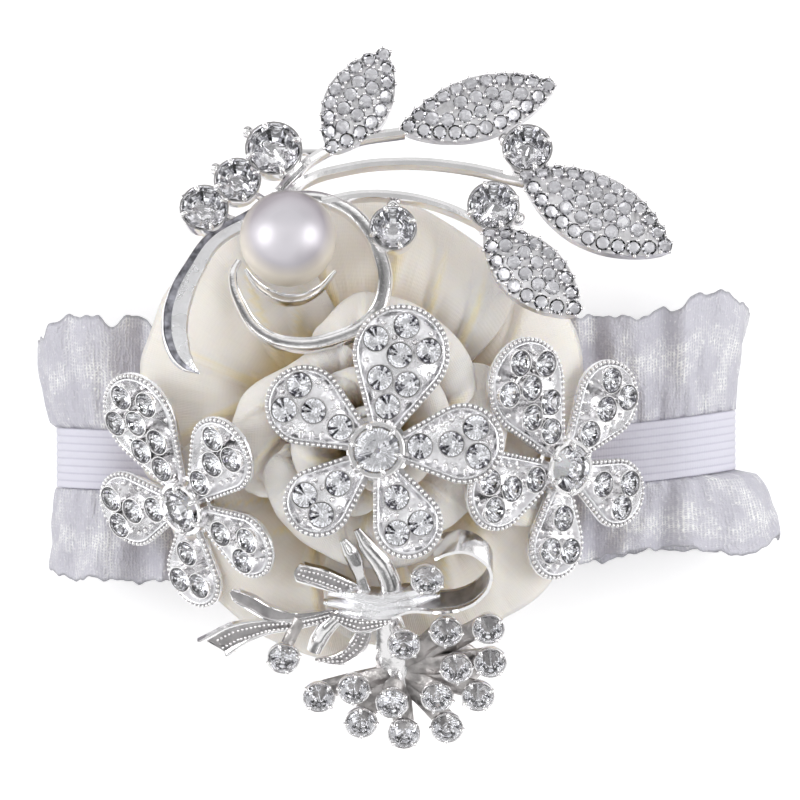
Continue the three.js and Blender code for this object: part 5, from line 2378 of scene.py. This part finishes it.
        def spot(i: int, j: int) -> Vector:
            """Returns the point at a column and a row.

            Args:
                i: the column.
                j: the row.

            Returns:
                The point.
            """
            share = shares[j]
            turn = math.tau * i / columns
            x, z, out = self.station(self.loop * i / columns)
            fold = i * 4 / self.steps_per_fold
            swing = math.sin(fold) + 0.5 * math.sin(7 * turn + phases[0])
            wave = (1 - math.cos(math.tau * fold / 4 + swing)) / 2
            beyond = max(0.0, abs(x - self.centre_x) - self.straight) / self.end_radius
            depth = lerp(self.root_depth, self.edge_depth, share) * wave * (1 - 0.9 * beyond)
            fine = 0.2 * math.sin(67 * turn + phases[1] + 5 * share) * (1 - 0.5 * share)
            fine += 0.1 * math.sin(131 * turn + phases[2] - 6 * share) * (1 - share)
            crinkle = 0.22 * share * math.sin(9 * share + 23 * turn + phases[3])
            ragged = 0.16 * math.sin(47 * turn + phases[4]) + 0.14 * math.sin(83 * turn + phases[5])
            ragged += 0.1 * math.sin(139 * turn + phases[6])
            amount, power = ruffle.flare_right if x > self.centre_x else ruffle.flare_left
            flared = x + math.copysign(amount * beyond * share ** power, x - self.centre_x)
            root = self.middle_y(x) + ruffle.side * (self.elastic_width / 2 + 0.1)
            plain = root + ruffle.side * (ruffle.width * self.back_share + 0.5 * math.cos(fold))
            front = min(1.0, max(0.0, z / self.end_radius - 0.4))
            edge = lerp(plain, ruffle.edge_y(flared), front) + ruffle.side * ragged
            point = Vector((flared, lerp(root, edge, share), z))
            return point - out * max(0.0, depth + fine + crinkle + 0.25)

        obj = self.loop_mesh(ruffle.name, columns, [share * ruffle.width for share in shares], spot, False)
        hem = [max(0.0, (share - self.hem_share) / (1 - self.hem_share)) for share in shares]
        painted(obj, "edge", hem * columns)
        return with_modifier(obj, "SOLIDIFY", thickness=self.cloth, offset=0)

    def build(self) -> None:
        """Models the band's pieces and sets them in place."""
        place = Matrix.Identity(4)
        elastic = dressed(self.elastic(), Finish.ELASTIC)
        set_piece(elastic, "elastic_ribs", place, ["elastic_band"])
        for seed, ruffle in enumerate(self.ruffles, self.first_seed):
            cloth = dressed(self.ruffle(ruffle, seed), Finish.ORGANZA)
            piece = set_piece(cloth, f"{ruffle.name}_organza", place, [ruffle.name])
        felt = turned([
            (0, 0), (self.felt_radius - 0.2, 0), (self.felt_radius, 0.3), (self.felt_radius, 1.1),
            (self.felt_radius - 0.3, self.felt_thickness), (0, self.felt_thickness)], 72)
        moved(felt, Vector((0, 0, self.felt_z)))
        piece = set_piece(
            smooth(dressed(felt, Finish.FELT), 40), "felt_disc",
            Matrix.Translation(plan(SatinRose.centre_pixels)), ["felt_backing"])


@dataclass
class Studio:
    """The pale floor, the soft light and the camera, square to the face of the rose."""

    frame_pixels: Pixels = (400, 400)
    frame_width: float = 112
    frame_height: float = 30
    distance: float = 1500
    sensor: float = 36
    floor_size: float = 4000
    floor_drop: float = 0.3
    floor_glow: float = 0.35
    box_size: float = 420
    key_place: Triple = (-560, 120, 400)
    key_power: float = 1.8
    fill_place: Triple = (560, 90, 380)
    fill_power: float = 1.9
    spark_power: float = 0.05
    spark_size: float = 50
    spark_count: int = 7
    spark_reach: float = 380
    spark_rise: Pair = (420, 90)
    sky_strength: float = 0.92
    sky_side: Triple = (-0.64, 0.77, 0)
    sky_tilt: Pair = (0.96, 1.04)
    sky_bands: tuple[Pair, ...] = (
        (0.06, 0.9), (0.24, 1.0), (0.32, 0.22), (0.44, 0.2), (0.5, 1.2), (0.66, 1.15), (0.72, 0.3),
        (0.82, 0.3), (0.88, 1.5), (0.945, 1.4), (0.98, 0.62))
    panel_scale: float = 2.6
    panel_tones: tuple[Pair, ...] = ((0.4, 0.18), (0.46, 1.0))
    panel_reach: tuple[Pair, ...] = ((0.1, 0.0), (0.25, 1.0), (0.95, 1.0), (0.985, 0.0))

    def floor(self) -> None:
        """Lays the floor under the corsage, white as seen and in reflections."""
        deselect()
        bpy.ops.mesh.primitive_plane_add(size=self.floor_size * MM, location=(0, 0, -self.floor_drop * MM))
        floor = bpy.context.active_object
        floor.name = "floor"
        sheet = NodeSheet("floor").set(
            Roughness=0.9, Base_Color=(0.92, 0.92, 0.92, 1), Specular_IOR_Level=0.1,
            Emission_Color=(1, 1, 1, 1))
        rays = sheet.node("ShaderNodeLightPath").outputs
        seen = sheet.math("MAXIMUM", rays["Is Camera Ray"], sheet.math(
            "MAXIMUM", rays["Is Glossy Ray"], rays["Is Transmission Ray"]))
        sheet.link(sheet.math("MULTIPLY", seen, self.floor_glow), "Emission Strength")
        floor.data.materials.append(sheet.owner)

    def world(self) -> None:
        """Makes the surroundings: white at the horizon, with soft panels and gaps overhead."""
        sky = NodeSheet("studio", world=True)
        bpy.context.scene.world = sky.owner
        place = sky.node("ShaderNodeTexCoord").outputs["Generated"]
        height = sky.node("ShaderNodeSeparateXYZ", {0: place}).outputs["Z"]
        noise = sky.node("ShaderNodeTexNoise", {"Vector": place, "Scale": self.panel_scale, "Detail": 1.0})
        bands, reach = sky.ramp(height, *self.sky_bands), sky.ramp(height, *self.panel_reach)
        panels = sky.ramp(noise.outputs["Fac"], *self.panel_tones)
        sky.link(sky.mix(reach, bands, panels, "MULTIPLY"), "Color")
        side = sky.vector("DOT_PRODUCT", place, self.sky_side, "Value")
        sky.link(sky.span(side, *(tilt * self.sky_strength for tilt in self.sky_tilt), (-1, 1)), "Strength")

    def lamp(self, name: str, at: Vector, size: float, power: float) -> None:
        """Adds a soft lamp that points at the corsage.

        Args:
            name: its name.
            at: its place.
            size: its side.
            power: its watts.
        """
        deselect()
        bpy.ops.object.light_add(type="AREA", location=at * MM)
        lamp = bpy.context.active_object
        lamp.name = name
        lamp.data.size = size * MM
        lamp.data.energy = power
        lamp.rotation_euler = (-at).to_track_quat("-Z", "Y").to_euler()

    def camera(self) -> None:
        """Sets the camera over the middle of the picture."""
        deselect()
        bpy.ops.object.camera_add()
        camera = bpy.context.active_object
        middle = plan(self.frame_pixels)
        middle.z = self.frame_height + self.distance
        camera.location = middle * MM
        camera.rotation_euler = (0, 0, 0)
        camera.data.sensor_width = self.sensor
        camera.data.lens = self.sensor * self.distance / self.frame_width
        camera.data.clip_end = 10
        bpy.context.scene.camera = camera

    def build(self) -> None:
        """Sets up the whole studio."""
        bpy.context.scene.view_settings.view_transform = "Standard"
        self.camera()
        self.floor()
        self.world()
        self.lamp("key_lamp", Vector(self.key_place), self.box_size, self.key_power)
        self.lamp("fill_lamp", Vector(self.fill_place), self.box_size, self.fill_power)
        for number in range(self.spark_count):
            angle = math.tau * (number + 0.3) / self.spark_count
            at = Vector((self.spark_reach * math.cos(angle), self.spark_reach * math.sin(angle), 0))
            at.z = self.spark_rise[0] + self.spark_rise[1] * (number % 3)
            self.lamp(f"spark_lamp_{number + 1}", at, self.spark_size, self.spark_power)


FLOWERS = (
    FlowerBrooch("left_flower", 208.9, 48.3, 119.8),
    FlowerBrooch("right_flower", -9.2, 40, 122.1),
    FlowerBrooch("centre_flower", 163.7, 7.1, 76.5, centre_cut=Cut.TABLE),
)


def main() -> None:
    """Builds the studio and every sub-assembly."""
    logging.basicConfig(level=logging.INFO, format="%(message)s", stream=sys.stdout)
    Studio().build()
    for group in (Wristband(), SatinRose(), *FLOWERS, LeafSpray(), BowBrooch()):
        group.build()
    bpy.context.view_layer.update()


if __name__ == "__main__":
    main()
